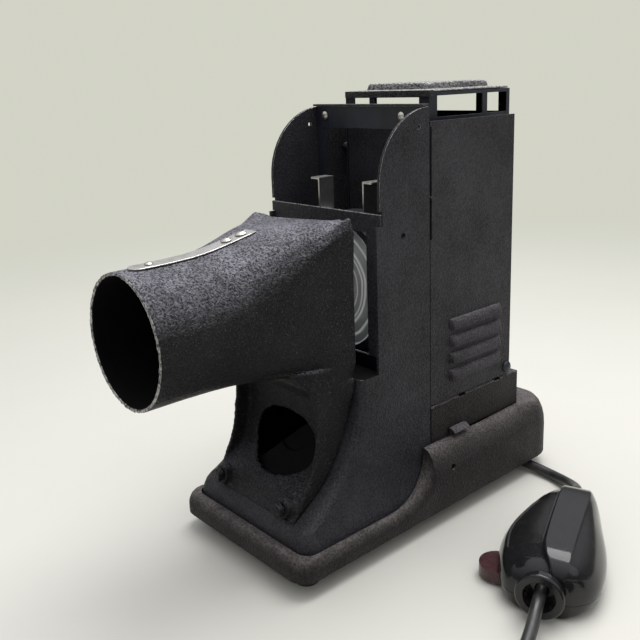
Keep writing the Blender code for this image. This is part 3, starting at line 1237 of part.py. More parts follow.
def make_jackets():
    for hand, side in (("left", -1), ("right", 1)):
        middle = JACKET_HALF_WIDTH - JACKET_SHEET / 2
        front = JACKET_FRONT_Y + JACKET_SHEET / 2
        line = [(side * (middle - JACKET_RETURN), front), (side * middle, front),
                (side * middle, JACKET_REAR_Y)]
        height = JACKET_TOP_Z - JACKET_LOW_Z
        jacket = plate("jacket_" + hand, [sheet_outline(line, JACKET_SHEET)], height,
                       floor_frame(JACKET_LOW_Z + height / 2), CRINKLE)
        for i in range(LOUVRE_COUNT):
            low = LOUVRE_FIRST_Z + i * LOUVRE_PITCH
            join(jacket, loft("louvre_hood", louvre_rings(low, side, 0.0), None, CUTTERS))
        for i in range(LOUVRE_COUNT):
            low = LOUVRE_FIRST_Z + i * LOUVRE_PITCH
            cut(jacket, loft("louvre_hollow", louvre_rings(low, side, LOUVRE_SHEET), None, CUTTERS))
        heights = (STANDOFF_LOW_Z, STANDOFF_HIGH_Z)
        places = [(y, z) for y in (STANDOFF_FRONT_Y, STANDOFF_REAR_Y) for z in heights]
        for y, z in places + [(JACKET_SCREW_Y, JACKET_SCREW_Z)]:
            join(jacket, rod("standoff", STANDOFF_RADIUS, (side * (CHIMNEY_HALF_WIDTH + GAP), y, z),
                             (side * middle, y, z), None, CUTTERS, sides=SMALL_SIDES))
        hole_end = side * (JACKET_HALF_WIDTH - 2 * JACKET_SHEET - GAP)
        cut(jacket, rod("jacket_hole", JACKET_SCREW_SHANK + GAP, (hole_end, JACKET_SCREW_Y, JACKET_SCREW_Z),
                        (hole_end + side * OVERRUN, JACKET_SCREW_Y, JACKET_SCREW_Z), None, CUTTERS,
                        sides=PROFILE_STEPS))
        profile = screw_profile(JACKET_SCREW_RADIUS, JACKET_SCREW_HEIGHT, JACKET_SCREW_SHANK, JACKET_SHEET)
        place = (side * (JACKET_HALF_WIDTH + GAP), JACKET_SCREW_Y, JACKET_SCREW_Z)
        turned("jacket_screw_" + hand, profile, place, (side, 0, 0), SMOOTH_BLACK, sides=SMALL_SIDES)


# Cord and its switch

HEADING = Vector((*SWITCH_HEADING, 0.0)).normalized()
RIGHT = Vector((HEADING.y, -HEADING.x, 0.0))
SWITCH_ORIGIN = Vector((*SWITCH_FRONT, 0.0))


def switch_place(across, along, z):
    return SWITCH_ORIGIN + RIGHT * across + HEADING * along + Vector((0.0, 0.0, z))


def switch_frame(z):
    """Drawing x is across the switch, drawing y is along it."""
    place = switch_place(0.0, 0.0, z)
    return Matrix(((RIGHT.x, HEADING.x, 0, place.x), (RIGHT.y, HEADING.y, 0, place.y),
                   (0, 0, 1, place.z), (0, 0, 0, 1)))


# Shares of the flank, from the floor up to the ridge: width out of the ridge, and height
FLANK_SHARES = ((0.62, 0.0), (0.88, 0.06), (0.98, 0.20), (1.0, 0.34), (0.94, 0.50), (0.74, 0.68),
                (0.42, 0.84), (0.12, 0.95), (0.0, 1.0))


def switch_rings():
    rings = []
    for along, width, height in SWITCH_SHARES:
        half = SWITCH_HALF_WIDTH * width
        top = blend(SWITCH_FLOOR_Z, SWITCH_TOP_Z, height)
        ridge = min(SWITCH_RIDGE_HALF, half * 0.62)
        side = [(blend(ridge, half, out), blend(SWITCH_FLOOR_Z, top, up)) for out, up in FLANK_SHARES]
        outline = side + [(-x, z) for x, z in reversed(side)]
        rings.append([switch_place(x, SWITCH_LENGTH * along, z) for x, z in outline])
    return rings


LEVER_ALONG = SWITCH_LENGTH * LEVER_PIVOT_SHARE
LEVER_LOW_Z = SWITCH_SPLIT_Z - LEVER_HEIGHT - 2 * GAP
POCKET_Z = LEVER_LOW_Z - GAP


def link_outline(first, first_radius, second, second_radius, steps=12):
    """Two round ends joined by their outer tangents."""
    first, second = Vector(first), Vector(second)
    axis = second - first
    lean = math.acos((first_radius - second_radius) / axis.length)
    base = math.atan2(axis.y, axis.x)
    points = []
    for centre, radius, start, end in ((second, second_radius, -lean, lean),
                                       (first, first_radius, lean, math.tau - lean)):
        for i in range(steps + 1):
            a = base + blend(start, end, i / steps)
            points.append((centre.x + radius * math.cos(a), centre.y + radius * math.sin(a)))
    return points


def swing_outline(pivot, steps=8):
    """The room the lever sweeps: its disc, its lobe at both ends of the swing and the arc between."""
    disc, lobe = LEVER_DISC_RADIUS + RUN_CLEAR, LEVER_LOBE_RADIUS + RUN_CLEAR
    arm = LEVER_REACH - LEVER_OFFSET
    lean = math.acos((disc - lobe) / arm)
    rest, swung = math.pi, math.pi - math.radians(LEVER_SWING_DEG)
    lobes = [Vector(pivot) + arm * Vector((math.cos(a), math.sin(a))) for a in (rest, swung)]
    arcs = ((Vector(pivot), disc, rest + lean - math.tau, swung - lean),
            (lobes[1], lobe, swung - lean, swung),
            (Vector(pivot), arm + lobe, swung, rest),
            (lobes[0], lobe, rest, rest + lean))
    points = []
    for centre, radius, start, end in arcs:
        for i in range(steps + 1):
            a = blend(start, end, i / steps)
            point = (centre.x + radius * math.cos(a), centre.y + radius * math.sin(a))
            if not points or (Vector(point) - Vector(points[-1])).length > GAP:
                points.append(point)
    return points


def switch_cutter(low, high):
    wide = 2 * SWITCH_HALF_WIDTH
    outline = rectangle(-wide, wide, -OVERRUN, SWITCH_LENGTH + OVERRUN)
    return plate("switch_split", [outline], high - low, switch_frame((low + high) / 2), None, CUTTERS)


def make_switch():
    rings = switch_rings()
    upper = loft("switch_upper", rings, PHENOLIC)
    cut(upper, switch_cutter(-OVERRUN, SWITCH_SPLIT_Z + GAP / 2))
    lower = loft("switch_lower", rings, PHENOLIC)
    cut(lower, switch_cutter(SWITCH_SPLIT_Z - GAP / 2, SWITCH_TOP_Z + OVERRUN))
    pivot = (-LEVER_OFFSET, LEVER_ALONG)
    lobe = (-LEVER_REACH, LEVER_ALONG)
    pocket_height = SWITCH_SPLIT_Z + OVERRUN - POCKET_Z
    pocket_z = POCKET_Z + pocket_height / 2
    room = plate("lever_pocket", [swing_outline(pivot)], pocket_height, switch_frame(pocket_z), None, CUTTERS)
    cut(lower, room)
    lever_z = (LEVER_LOW_Z + SWITCH_SPLIT_Z - GAP) / 2
    height = SWITCH_SPLIT_Z - GAP - LEVER_LOW_Z
    lever = plate("switch_lever", [link_outline(pivot, LEVER_DISC_RADIUS, lobe, LEVER_LOBE_RADIUS),
                                   circle(*pivot, LEVER_PIN_RADIUS + GAP, PROFILE_STEPS)],
                  height, switch_frame(lever_z), MAROON)
    bevel(lever, height / 5, 2, 60)
    rod("lever_pin", LEVER_PIN_RADIUS, switch_place(*pivot, POCKET_Z + GAP),
        switch_place(*pivot, SWITCH_SPLIT_Z - GAP), BARE_METAL, sides=PROFILE_STEPS)
    socket = CORD_RADIUS + RUN_CLEAR
    depth = CORD_SOCKET_DEPTH + GAP
    ends = ((-OVERRUN, depth, SWITCH_CORD_Z),
            (SWITCH_LENGTH - depth, SWITCH_LENGTH + OVERRUN, SWITCH_CORD_REAR_Z))
    for start, end, z in ends:
        cut(upper, rod("cord_socket", socket, switch_place(0.0, start, z), switch_place(0.0, end, z), None,
                       CUTTERS, sides=20))
    front = switch_place(0.0, -GAP, SWITCH_CORD_Z)
    lip = COLLAR_LIP
    profile = ((COLLAR_BORE, COLLAR_LENGTH), (COLLAR_RADIUS - lip / 2, COLLAR_LENGTH),
               (COLLAR_RADIUS, COLLAR_LENGTH - lip / 2), (COLLAR_RADIUS, COLLAR_LENGTH - lip),
               (COLLAR_RADIUS - lip, COLLAR_LENGTH - lip * 1.4), (COLLAR_RADIUS - lip, 0.0),
               (COLLAR_BORE, 0.0))
    turned("switch_collar_front", profile, front, -HEADING, PHENOLIC, sides=24)
    rear = switch_place(0.0, SWITCH_LENGTH + GAP, SWITCH_CORD_REAR_Z)
    ring = ring_profile(COLLAR_REAR_RADIUS, COLLAR_REAR_BORE, 0.0, COLLAR_REAR_LENGTH)
    turned("switch_collar_rear", ring, rear, HEADING, PHENOLIC, sides=24)


def smooth_route(route, spacing):
    """Read evenly spaced points from a smooth curve through a route's own points."""
    points = [Vector(p) for p in route]
    ends = [points[0] * 2 - points[1]] + points + [points[-1] * 2 - points[-2]]
    dense = []
    for a, b, c, d in zip(ends, ends[1:], ends[2:], ends[3:]):
        for i in range(PROFILE_STEPS):
            t = i / PROFILE_STEPS
            dense.append(0.5 * (2 * b + (c - a) * t + (2 * a - 5 * b + 4 * c - d) * t * t
                                + (3 * b - a - 3 * c + d) * t ** 3))
    dense.append(points[-1])
    lengths = [0.0]
    for one, two in zip(dense, dense[1:]):
        lengths.append(lengths[-1] + (two - one).length)
    count = max(2, round(lengths[-1] / spacing))
    result = []
    for i in range(count + 1):
        want = lengths[-1] * i / count
        j = next((k for k in range(len(lengths) - 1) if lengths[k + 1] >= want), len(lengths) - 2)
        part = (want - lengths[j]) / (lengths[j + 1] - lengths[j])
        result.append(dense[j].lerp(dense[j + 1], min(max(part, 0.0), 1.0)))
    return result


COIL_OUTER = COIL_MEAN_RADIUS + COIL_PITCH * COIL_LAYER_TURNS / 2
COIL_INNER = COIL_MEAN_RADIUS - COIL_PITCH * COIL_LAYER_TURNS / 2


def coil_points():
    """In along the floor, up a layer in a half turn at the inside, then out again on top."""
    points = []
    layer = COIL_LAYER_TURNS * LOOP_POINTS
    climb = LOOP_POINTS // 2
    start = math.radians(COIL_START_DEG)
    for i in range(2 * layer + climb + 1):
        angle = start + math.tau * i / LOOP_POINTS
        if i <= layer:
            radius = COIL_OUTER - COIL_PITCH * i / LOOP_POINTS
            z = COIL_FLOOR_Z
        elif i <= layer + climb:
            part = (i - layer) / climb
            radius = COIL_INNER - COIL_CLIMB_BULGE * math.sin(math.pi * part)
            z = COIL_FLOOR_Z + COIL_PITCH * part
        else:
            radius = COIL_INNER + COIL_PITCH * (i - layer - climb) / LOOP_POINTS
            z = COIL_FLOOR_Z + COIL_PITCH
        x = COIL_CENTRE[0] + radius * math.cos(angle)
        points.append(Vector((x, COIL_CENTRE[1] + radius * math.sin(angle), z)))
    heading = Vector((-math.sin(angle), math.cos(angle), 0.0))
    points.append(points[-1] + heading * 2 * CORD_RADIUS)
    before = Vector((-math.sin(start), math.cos(start), 0.0))
    points.insert(0, points[0] - before * 2 * CORD_RADIUS)
    return points, before, heading


def least_self_gap(points):
    """The smallest room between stretches of the coil that aren't neighbours along it."""
    fine = []
    for one, two in zip(points, points[1:]):
        fine += [one.lerp(two, i / 4) for i in range(4)]
    apart = LOOP_POINTS * 2
    least = min((one - two).length for i, one in enumerate(fine) for two in fine[i + apart:])
    return least - 2 * CORD_RADIUS


def make_cord():
    lead = [Vector((CLAMP_X + GAP, CLAMP_Y, CLAMP_EXIT_Z))] + [Vector(p) for p in LEAD_ROUTE]
    tube("cord_lead", smooth_route(lead, 5 * CORD_RADIUS), CORD_RADIUS, TUBE_RESOLUTION, RUBBER)
    coil, start_heading, end_heading = coil_points()
    route = [Vector(p) for p in RUN_ROUTE] + [coil[0] - start_heading * GAP]
    tube("cord_run", smooth_route(route, 5 * CORD_RADIUS), CORD_RADIUS, TUBE_RESOLUTION, RUBBER)
    tube("cord_coil", coil, CORD_RADIUS, COIL_RESOLUTION, RUBBER)
    tail = [coil[-1] + end_heading * GAP] + [Vector(p) for p in TAIL_ROUTE]
    tube("cord_tail", smooth_route(tail, 5 * CORD_RADIUS), CORD_RADIUS, TUBE_RESOLUTION, RUBBER)
    print("cord coil: least gap to itself %.2f mm" % (least_self_gap(coil) * 1000))
    angle = math.radians(TIE_DEG)
    radial = Vector((math.cos(angle), math.sin(angle), 0.0))
    along = Vector((-radial.y, radial.x, 0.0))
    low = COIL_INNER - COIL_CLIMB_BULGE - CORD_RADIUS - TIE_CLEAR
    high = COIL_OUTER + CORD_RADIUS + TIE_CLEAR
    floor = COIL_FLOOR_Z - CORD_RADIUS - GAP
    top = COIL_FLOOR_Z + COIL_PITCH + CORD_RADIUS + GAP
    frame = Matrix(((radial.x, 0, -along.x, COIL_CENTRE[0]), (radial.y, 0, -along.y, COIL_CENTRE[1]),
                    (0, 1, 0, 0), (0, 0, 0, 1)))
    band = TIE_SHEET
    plate("coil_tie", [rectangle(low - band, high + band, floor - band, top + band, CORD_RADIUS / 2),
                       rectangle(low, high, floor, top, CORD_RADIUS / 2 - band)], TIE_WIDTH, frame, RUBBER)
    end_heading = (tail[-1] - tail[-2]).normalized()
    plug = tail[-1] + end_heading * GAP
    profile = ((0.0, 0.0), (PLUG_NECK_RADIUS, 0.0), (PLUG_NECK_RADIUS, PLUG_NECK),
               (PLUG_RADIUS * 0.8, PLUG_NECK * 1.25), (PLUG_RADIUS, PLUG_NECK * 1.9),
               (PLUG_RADIUS, PLUG_LENGTH * 0.9), (PLUG_RADIUS * 0.9, PLUG_LENGTH), (0.0, PLUG_LENGTH))
    turned("plug_body", profile[::-1], plug, end_heading, PHENOLIC, sides=24)
    across = Vector((-end_heading.y, end_heading.x, 0.0))
    for hand, side in (("left", -1), ("right", 1)):
        start = plug + end_heading * (PLUG_LENGTH + GAP) + across * side * BLADE_SPREAD
        turn = Matrix(((across.x, end_heading.x, 0, start.x), (across.y, end_heading.y, 0, start.y),
                       (0, 0, 1, start.z), (0, 0, 0, 1)))
        plate("plug_blade_" + hand, [rectangle(-BLADE_SHEET / 2, BLADE_SHEET / 2, 0.0, BLADE_LENGTH)],
              BLADE_WIDTH, turn, BARE_METAL)
    box("cord_clamp", (CLAMP_X - CLAMP_LENGTH, CLAMP_Y - CLAMP_HALF_WIDTH, CLAMP_EXIT_Z - CORD_RADIUS),
        (CLAMP_X, CLAMP_Y + CLAMP_HALF_WIDTH, PLATE_LOW_Z - GAP), SMOOTH_BLACK, round_edge=FOOT_EDGE)


make_base()
make_bottom_plate()
make_housing()
make_aperture_plate()
make_bulkhead()
make_nose()
make_strip()
make_condenser()
make_pan()
make_lamp()
make_chimney()
make_roof()
make_jackets()
make_switch()
make_cord()
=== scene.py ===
import json
import math

import bmesh
import bpy
from mathutils import Matrix, Vector


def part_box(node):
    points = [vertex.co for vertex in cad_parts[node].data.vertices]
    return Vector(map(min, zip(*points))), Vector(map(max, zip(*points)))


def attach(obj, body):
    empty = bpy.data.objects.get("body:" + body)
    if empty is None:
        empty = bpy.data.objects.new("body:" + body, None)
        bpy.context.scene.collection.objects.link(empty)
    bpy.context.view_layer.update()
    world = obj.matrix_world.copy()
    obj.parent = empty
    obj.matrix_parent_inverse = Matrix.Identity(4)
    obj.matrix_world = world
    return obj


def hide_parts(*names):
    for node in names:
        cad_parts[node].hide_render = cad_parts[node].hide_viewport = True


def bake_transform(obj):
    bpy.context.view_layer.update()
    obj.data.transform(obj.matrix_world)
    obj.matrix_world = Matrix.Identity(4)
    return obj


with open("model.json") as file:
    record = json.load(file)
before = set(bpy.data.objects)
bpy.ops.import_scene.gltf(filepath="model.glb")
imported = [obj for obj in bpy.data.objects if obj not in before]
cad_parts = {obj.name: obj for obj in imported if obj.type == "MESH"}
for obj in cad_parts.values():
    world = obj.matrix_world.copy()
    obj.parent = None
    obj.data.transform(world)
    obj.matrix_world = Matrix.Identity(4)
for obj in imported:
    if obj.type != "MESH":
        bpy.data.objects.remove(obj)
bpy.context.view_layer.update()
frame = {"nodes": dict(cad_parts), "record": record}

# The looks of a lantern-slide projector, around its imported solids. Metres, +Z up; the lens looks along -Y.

# Camera, at the photograph's place
CAMERA_PLACE = (0.4431, -0.4092, 0.3465)
CAMERA_AZIMUTH = 49.006
CAMERA_ELEVATION = 14.105
CAMERA_ROLL = -2.145
CAMERA_LENS_MM = 44.932
CAMERA_SENSOR_MM = 36.0
CAMERA_SHIFT_Y = -0.0625


def make_camera():
    data = bpy.data.cameras.new("camera")
    data.lens = CAMERA_LENS_MM
    data.sensor_width = CAMERA_SENSOR_MM
    data.shift_y = CAMERA_SHIFT_Y
    camera = bpy.data.objects.new("camera", data)
    bpy.context.scene.collection.objects.link(camera)
    azimuth, elevation, roll = map(math.radians, (CAMERA_AZIMUTH, CAMERA_ELEVATION, CAMERA_ROLL))
    level = Vector((math.sin(azimuth), -math.cos(azimuth), 0.0))
    back = level * math.cos(elevation) + Vector((0.0, 0.0, math.sin(elevation)))
    across = Vector((0, 0, 1)).cross(back).normalized()
    upward = back.cross(across)
    right = across * math.cos(roll) + upward * math.sin(roll)
    top = upward * math.cos(roll) - across * math.sin(roll)
    turn = Matrix((right, top, back)).transposed().to_4x4()
    camera.matrix_world = Matrix.Translation(CAMERA_PLACE) @ turn
    bpy.context.scene.camera = camera


make_camera()


# Materials. All read object coordinates, which are the shared frame in metres.

FLECK_COLOUR = (0.16, 0.155, 0.16)
FILM_COLOUR = (0.10, 0.095, 0.085)
CHIP_COLOUR = (0.03, 0.029, 0.031)
SCUFF_COLOUR = (0.12, 0.115, 0.11)
PAINTED_RING_GLOW = (0.10, 0.105, 0.105)
WHITE = (1.0, 1.0, 1.0)
EVEN = (1.0, 1.0, 1.0)


def add(tree, kind, inputs=None, **props):
    node = tree.nodes.new("ShaderNode" + kind)
    for key, value in props.items():
        setattr(node, key, value)
    for key, value in (inputs or {}).items():
        if isinstance(value, bpy.types.NodeSocket):
            tree.links.new(value, node.inputs[key])
        else:
            node.inputs[key].default_value = value
    return node


def new_material(name, **sockets):
    """A material with its node tree, its shader and the socket of object coordinates."""
    made = bpy.data.materials.new(name)
    made.use_nodes = True
    tree = made.node_tree
    shader = tree.nodes["Principled BSDF"]
    for key, value in sockets.items():
        shader.inputs[key.replace("_", " ")].default_value = value
    return made, tree, shader, add(tree, "TexCoord").outputs["Object"]


def noise_of(tree, place, scale, detail=2.0, roughness=0.5, distortion=0.0):
    node = add(tree, "TexNoise", {"Vector": place, "Scale": scale, "Detail": detail, "Roughness": roughness,
                                  "Distortion": distortion})
    return node.outputs["Fac"]


def spread(tree, value, low, high, to_low=0.0, to_high=1.0):
    node = add(tree, "MapRange", {0: value, 1: low, 2: high, 3: to_low, 4: to_high})
    return node.outputs[0]


def maths(tree, operation, one, two=0.0):
    return add(tree, "Math", {0: one, 1: two}, operation=operation).outputs[0]


def times(tree, one, two):
    return maths(tree, "MULTIPLY", one, two)


def plus(tree, one, two):
    return maths(tree, "ADD", one, two)


def mix(tree, share, one, two):
    """Two colours mixed; the Mix node's colour sockets are 6 and 7 in and 2 out."""
    node = add(tree, "Mix", {0: share, 6: one, 7: two}, data_type="RGBA")
    return node.outputs[2]


def upward_share(tree, low, high):
    """How far a surface faces up: 0 below the low value of its normal's z, 1 above the high one."""
    normal = add(tree, "NewGeometry").outputs["Normal"]
    z = add(tree, "SeparateXYZ", {0: normal}).outputs["Z"]
    return spread(tree, z, low, high)


def rgba(colour):
    return (*colour, 1.0)


def set_bump(tree, shader, strength, distance, height):
    bump = add(tree, "Bump", {"Strength": strength, "Distance": distance, "Height": height})
    tree.links.new(bump.outputs[0], shader.inputs["Normal"])


def set_finish(tree, shader, colour, roughness):
    tree.links.new(colour, shader.inputs["Base Color"])
    tree.links.new(roughness, shader.inputs["Roughness"])


def wrinkle_paint(name, dark, light, fold=0.0013, depth=0.6, rough=(0.42, 0.62), dust=0.2,
                  dust_sheen_colour=(0.085, 0.076, 0.066), fleck=0.35, shine=0.22, rises=0.15, grain=(0.4, 1.3),
                  dust_from_z=-1.0):
    """Crinkle-finish enamel: fine folds with a painted highlight on their crests, and a pale tint on what
    faces up that is partly dust and partly painted sheen.

    fold is the size of a fold in metres, rises the normal's z from which that tint lies, grain the tint in
    the hollows and on the crests, and dust_from_z the height below which little of it lies.
    """
    made, tree, shader, place = new_material(name, IOR=1.5, Specular_IOR_Level=shine)
    drift = add(tree, "TexNoise", {"Vector": place, "Scale": 0.35 / fold, "Detail": 1.0})
    centred = add(tree, "VectorMath", {0: drift.outputs["Color"], 1: (0.5, 0.5, 0.5)}, operation="SUBTRACT")
    pull = add(tree, "VectorMath", {0: centred.outputs[0], 3: fold * 2.2}, operation="SCALE")
    bent = add(tree, "VectorMath", {0: place, 1: pull.outputs[0]}, operation="ADD").outputs[0]
    cells = add(tree, "TexVoronoi", {"Vector": bent, "Scale": 1.0 / fold, "Smoothness": 0.6},
                feature="SMOOTH_F1").outputs["Distance"]
    folds = noise_of(tree, bent, 0.9 / fold, 3.0, 0.55)
    height = plus(tree, times(tree, cells, 0.5), folds)
    set_bump(tree, shader, depth, fold * 0.8, height)
    broad = spread(tree, noise_of(tree, place, 24.0, 4.0, 0.6), 0.3, 0.7)
    # The paler crests are a painted highlight, where the folds would catch the light.
    crest_highlight = spread(tree, height, 0.55, 0.95)
    tone = plus(tree, times(tree, broad, 0.45), times(tree, crest_highlight, 0.55))
    paint = mix(tree, tone, rgba(dark), rgba(light))
    # The pale tint on what faces up, heavier on the crests, is partly dust and partly painted sheen from the
    # light above.
    patches = spread(tree, noise_of(tree, place, 55.0, 5.0, 0.65), 0.35, 0.75, dust * 0.4, dust)
    settled = times(tree, upward_share(tree, rises, 1.0), patches)
    settled = times(tree, settled, spread(tree, crest_highlight, 0.0, 1.0, *grain))
    z = add(tree, "SeparateXYZ", {0: place}).outputs["Z"]
    settled = times(tree, settled, spread(tree, z, dust_from_z, dust_from_z + 0.05, 0.15, 1.0))
    dusty = mix(tree, settled, paint, rgba(dust_sheen_colour))
    specks = spread(tree, noise_of(tree, place, 2.1 / fold, 1.0), 0.66, 0.74)
    colour = mix(tree, times(tree, specks, fleck), dusty, rgba(FLECK_COLOUR))
    set_finish(tree, shader, colour, spread(tree, tone, 0.0, 1.0, rough[1], rough[0]))
    return made


def smooth_paint(name, dark, light, rough=(0.34, 0.5), dust=0.12, shine=0.4):
    """Smooth paint dulled by heat and handling: faint streaks and a film of dust."""
    made, tree, shader, place = new_material(name, IOR=1.5, Specular_IOR_Level=shine)
    tall = add(tree, "Mapping", {0: place, 3: (1.0, 1.0, 0.25)}).outputs[0]
    streaks = noise_of(tree, tall, 130.0, 4.0, 0.6)
    broad = noise_of(tree, place, 30.0, 3.0, 0.55)
    tone = spread(tree, plus(tree, streaks, broad), 0.7, 1.3)
    paint = mix(tree, tone, rgba(dark), rgba(light))
    settled = times(tree, upward_share(tree, 0.4, 1.0), dust)
    dusty = mix(tree, settled, paint, rgba(FILM_COLOUR))
    set_finish(tree, shader, dusty, spread(tree, broad, 0.3, 0.7, *rough))
    set_bump(tree, shader, 0.12, 0.0002, noise_of(tree, place, 900.0, 2.0))
    return made


def bare_metal(name, colour, stain, rough, grain=(1.0, 0.12, 1.0), scale=900.0, stained=0.5, paint_left=None):
    """Worn metal: a drawn grain, cloudy tarnish, and, where asked for, paint left in patches."""
    made, tree, shader, place = new_material(name, Metallic=1.0)
    drawn = add(tree, "Mapping", {0: place, 3: grain}).outputs[0]
    lines = noise_of(tree, drawn, scale, 3.0, 0.6)
    clouds = spread(tree, noise_of(tree, place, 160.0, 5.0, 0.65), 0.42, 0.72, 0.0, stained)
    colour_now = mix(tree, clouds, rgba(colour), rgba(stain))
    rough_now = spread(tree, plus(tree, lines, clouds), 0.3, 1.1, *rough)
    if paint_left:
        chips = spread(tree, noise_of(tree, place, 420.0, 3.0, 0.6), paint_left, paint_left + 0.06)
        colour_now = mix(tree, chips, colour_now, rgba(CHIP_COLOUR))
        tree.links.new(maths(tree, "SUBTRACT", 1.0, chips), shader.inputs["Metallic"])
        rough_now = maths(tree, "MAXIMUM", rough_now, times(tree, chips, 0.5))
    set_finish(tree, shader, colour_now, rough_now)
    set_bump(tree, shader, 0.12, 0.0001, lines)
    return made


def phenolic(name, dark, light, rough=(0.07, 0.2), scuffs=0.35, mottle=0.0):
    """Glossy moulded phenolic with fine scuffs and smears that dull its polish."""
    made, tree, shader, place = new_material(name, IOR=1.6, Specular_IOR_Level=0.28, Coat_Weight=0.12,
                                             Coat_Roughness=0.06)
    smear = noise_of(tree, place, 85.0, 5.0, 0.7)
    streak = add(tree, "Mapping", {0: place, 3: (1.0, 0.2, 1.0)}).outputs[0]
    fine = spread(tree, noise_of(tree, streak, 1400.0, 2.0), 0.6, 0.72, 0.0, scuffs)
    tone = spread(tree, noise_of(tree, place, 210.0, 4.0, 0.7), 0.4, 0.75, 0.0, 0.35 + mottle)
    colour = mix(tree, tone, rgba(dark), rgba(light))
    scuffed = mix(tree, times(tree, fine, 0.25), colour, rgba(SCUFF_COLOUR))
    dulled = plus(tree, spread(tree, smear, 0.35, 0.7, *rough), times(tree, fine, 0.3))
    set_finish(tree, shader, scuffed, dulled)
    set_bump(tree, shader, 0.06, 0.0002, noise_of(tree, place, 260.0, 2.0))
    return made


def clouded(name, one, two, scale, grain, span, rough, bump=None, **sockets):
    """A plain finish that drifts between two colours; bump is its strength, depth and scale."""
    made, tree, shader, place = new_material(name, **sockets)
    share = spread(tree, noise_of(tree, place, scale, 4.0, grain), *span)
    set_finish(tree, shader, mix(tree, share, rgba(one), rgba(two)), spread(tree, share, 0.0, 1.0, *rough))
    if bump:
        set_bump(tree, shader, bump[0], bump[1], noise_of(tree, place, bump[2], 3.0))
    return made


LENS_AXIS_Z = 0.193
# Radius and half width of each painted reflection, a bright ring that the lens shows, in metres
LENS_PAINTED_RINGS = ((0.0235, 0.0009), (0.0290, 0.0011), (0.0322, 0.0016), (0.0410, 0.0013), (0.0480, 0.0009))
RING_DRIFT = 0.0012


def dusty_glass(name, rings=()):
    """Glass under a film of dust; a lens also gets painted reflections: white rings about its axis that glow.
    """
    made, tree, shader, place = new_material(name, IOR=1.5, Transmission_Weight=0.2)
    film = spread(tree, noise_of(tree, place, 45.0, 5.0, 0.6), 0.35, 0.7)
    colour = mix(tree, film, rgba((0.50, 0.51, 0.52)), rgba((0.80, 0.81, 0.81)))
    if rings:
        flat = add(tree, "VectorMath", {0: place, 1: (1.0, 0.0, 1.0)}, operation="MULTIPLY").outputs[0]
        from_axis = add(tree, "VectorMath", {0: flat, 1: (0.0, 0.0, LENS_AXIS_Z)}, operation="DISTANCE")
        drift = spread(tree, noise_of(tree, place, 30.0), 0.3, 0.7, -RING_DRIFT, RING_DRIFT)
        wavy = plus(tree, from_axis.outputs["Value"], drift)
        # Painted reflections: the rings are whitened and made to glow.
        painted_glint = 0.0
        for radius, half in rings:
            off = maths(tree, "ABSOLUTE", maths(tree, "SUBTRACT", wavy, radius))
            painted_glint = plus(tree, painted_glint, spread(tree, off, half * 0.4, half, 1.0, 0.0))
        colour = mix(tree, painted_glint, colour, rgba(WHITE))
        tree.links.new(painted_glint, shader.inputs["Emission Strength"])
        shader.inputs["Emission Color"].default_value = rgba(PAINTED_RING_GLOW)
    set_finish(tree, shader, colour, spread(tree, film, 0.0, 1.0, 0.05, 0.28))
    return made


# The tints that these crinkle finishes put on what faces up are partly dust and partly painted sheen: the
# bluish one on the casting, the pale grey lid of the roof and the paler louvre lips on the jackets.
CRINKLE = wrinkle_paint("crinkle_sheet", (0.005, 0.0046, 0.0058), (0.040, 0.038, 0.046), fold=0.0014)
CRINKLE_ROOF = wrinkle_paint("crinkle_roof", (0.006, 0.006, 0.007), (0.050, 0.048, 0.052), fold=0.0016,
                             depth=1.0, dust=1.3, dust_sheen_colour=(0.40, 0.395, 0.38), rises=0.0,
                             grain=(0.1, 1.75))
CRINKLE_JACKET = wrinkle_paint("crinkle_jacket", (0.006, 0.0056, 0.0066), (0.046, 0.043, 0.050), fold=0.0014,
                               dust=0.9, dust_sheen_colour=(0.17, 0.155, 0.16), rises=0.05)
CRINKLE_BASE = wrinkle_paint("crinkle_base", (0.005, 0.0045, 0.0045), (0.030, 0.0265, 0.026), fold=0.0014,
                             dust=0.85, dust_sheen_colour=(0.19, 0.168, 0.16), shine=0.16)
CAST = wrinkle_paint("crinkle_cast", (0.002, 0.002, 0.0022), (0.017, 0.016, 0.018), fold=0.0014, depth=1.0,
                     rough=(0.30, 0.5), dust=1.0, dust_sheen_colour=(0.21, 0.205, 0.235), fleck=0.7, shine=0.16,
                     rises=0.2, grain=(0.05, 1.85), dust_from_z=0.10)
SMOOTH = smooth_paint("smooth_black", (0.010, 0.011, 0.016), (0.022, 0.025, 0.036))
# Painted shade: a near-black finish on faces that lie deep in shadow, inside the barrel, the housing and the
# lamp house, behind the nose's leg and below the aperture window.
PAINTED_SHADE = smooth_paint("painted_shade_black", (0.0015, 0.0015, 0.0018), (0.004, 0.004, 0.0045), (0.6, 0.8), 0.03, 0.08)
WORN = bare_metal("worn_edge", (0.42, 0.41, 0.40), (0.10, 0.095, 0.09), (0.35, 0.6), stained=0.85,
                  paint_left=0.52)
STEEL = bare_metal("screw_steel", (0.62, 0.60, 0.55), (0.22, 0.19, 0.15), (0.22, 0.42), EVEN, 600.0)
STRIP = bare_metal("strip_metal", (0.66, 0.65, 0.62), (0.38, 0.36, 0.32), (0.3, 0.5), (1.0, 0.06, 1.0),
                   1500.0)
SILVERED = bare_metal("silvered", (0.82, 0.82, 0.80), (0.6, 0.58, 0.5), (0.05, 0.16), EVEN, 300.0, 0.3)
BRASS = bare_metal("brass", (0.60, 0.45, 0.20), (0.25, 0.17, 0.07), (0.25, 0.45), EVEN, 500.0, 0.6)
PHENOLIC = phenolic("black_phenolic", (0.010, 0.010, 0.011), (0.022, 0.021, 0.021))
PHENOLIC_DULL = phenolic("dull_phenolic", (0.005, 0.005, 0.0055), (0.012, 0.011, 0.011), (0.3, 0.5), 0.5, 0.2)
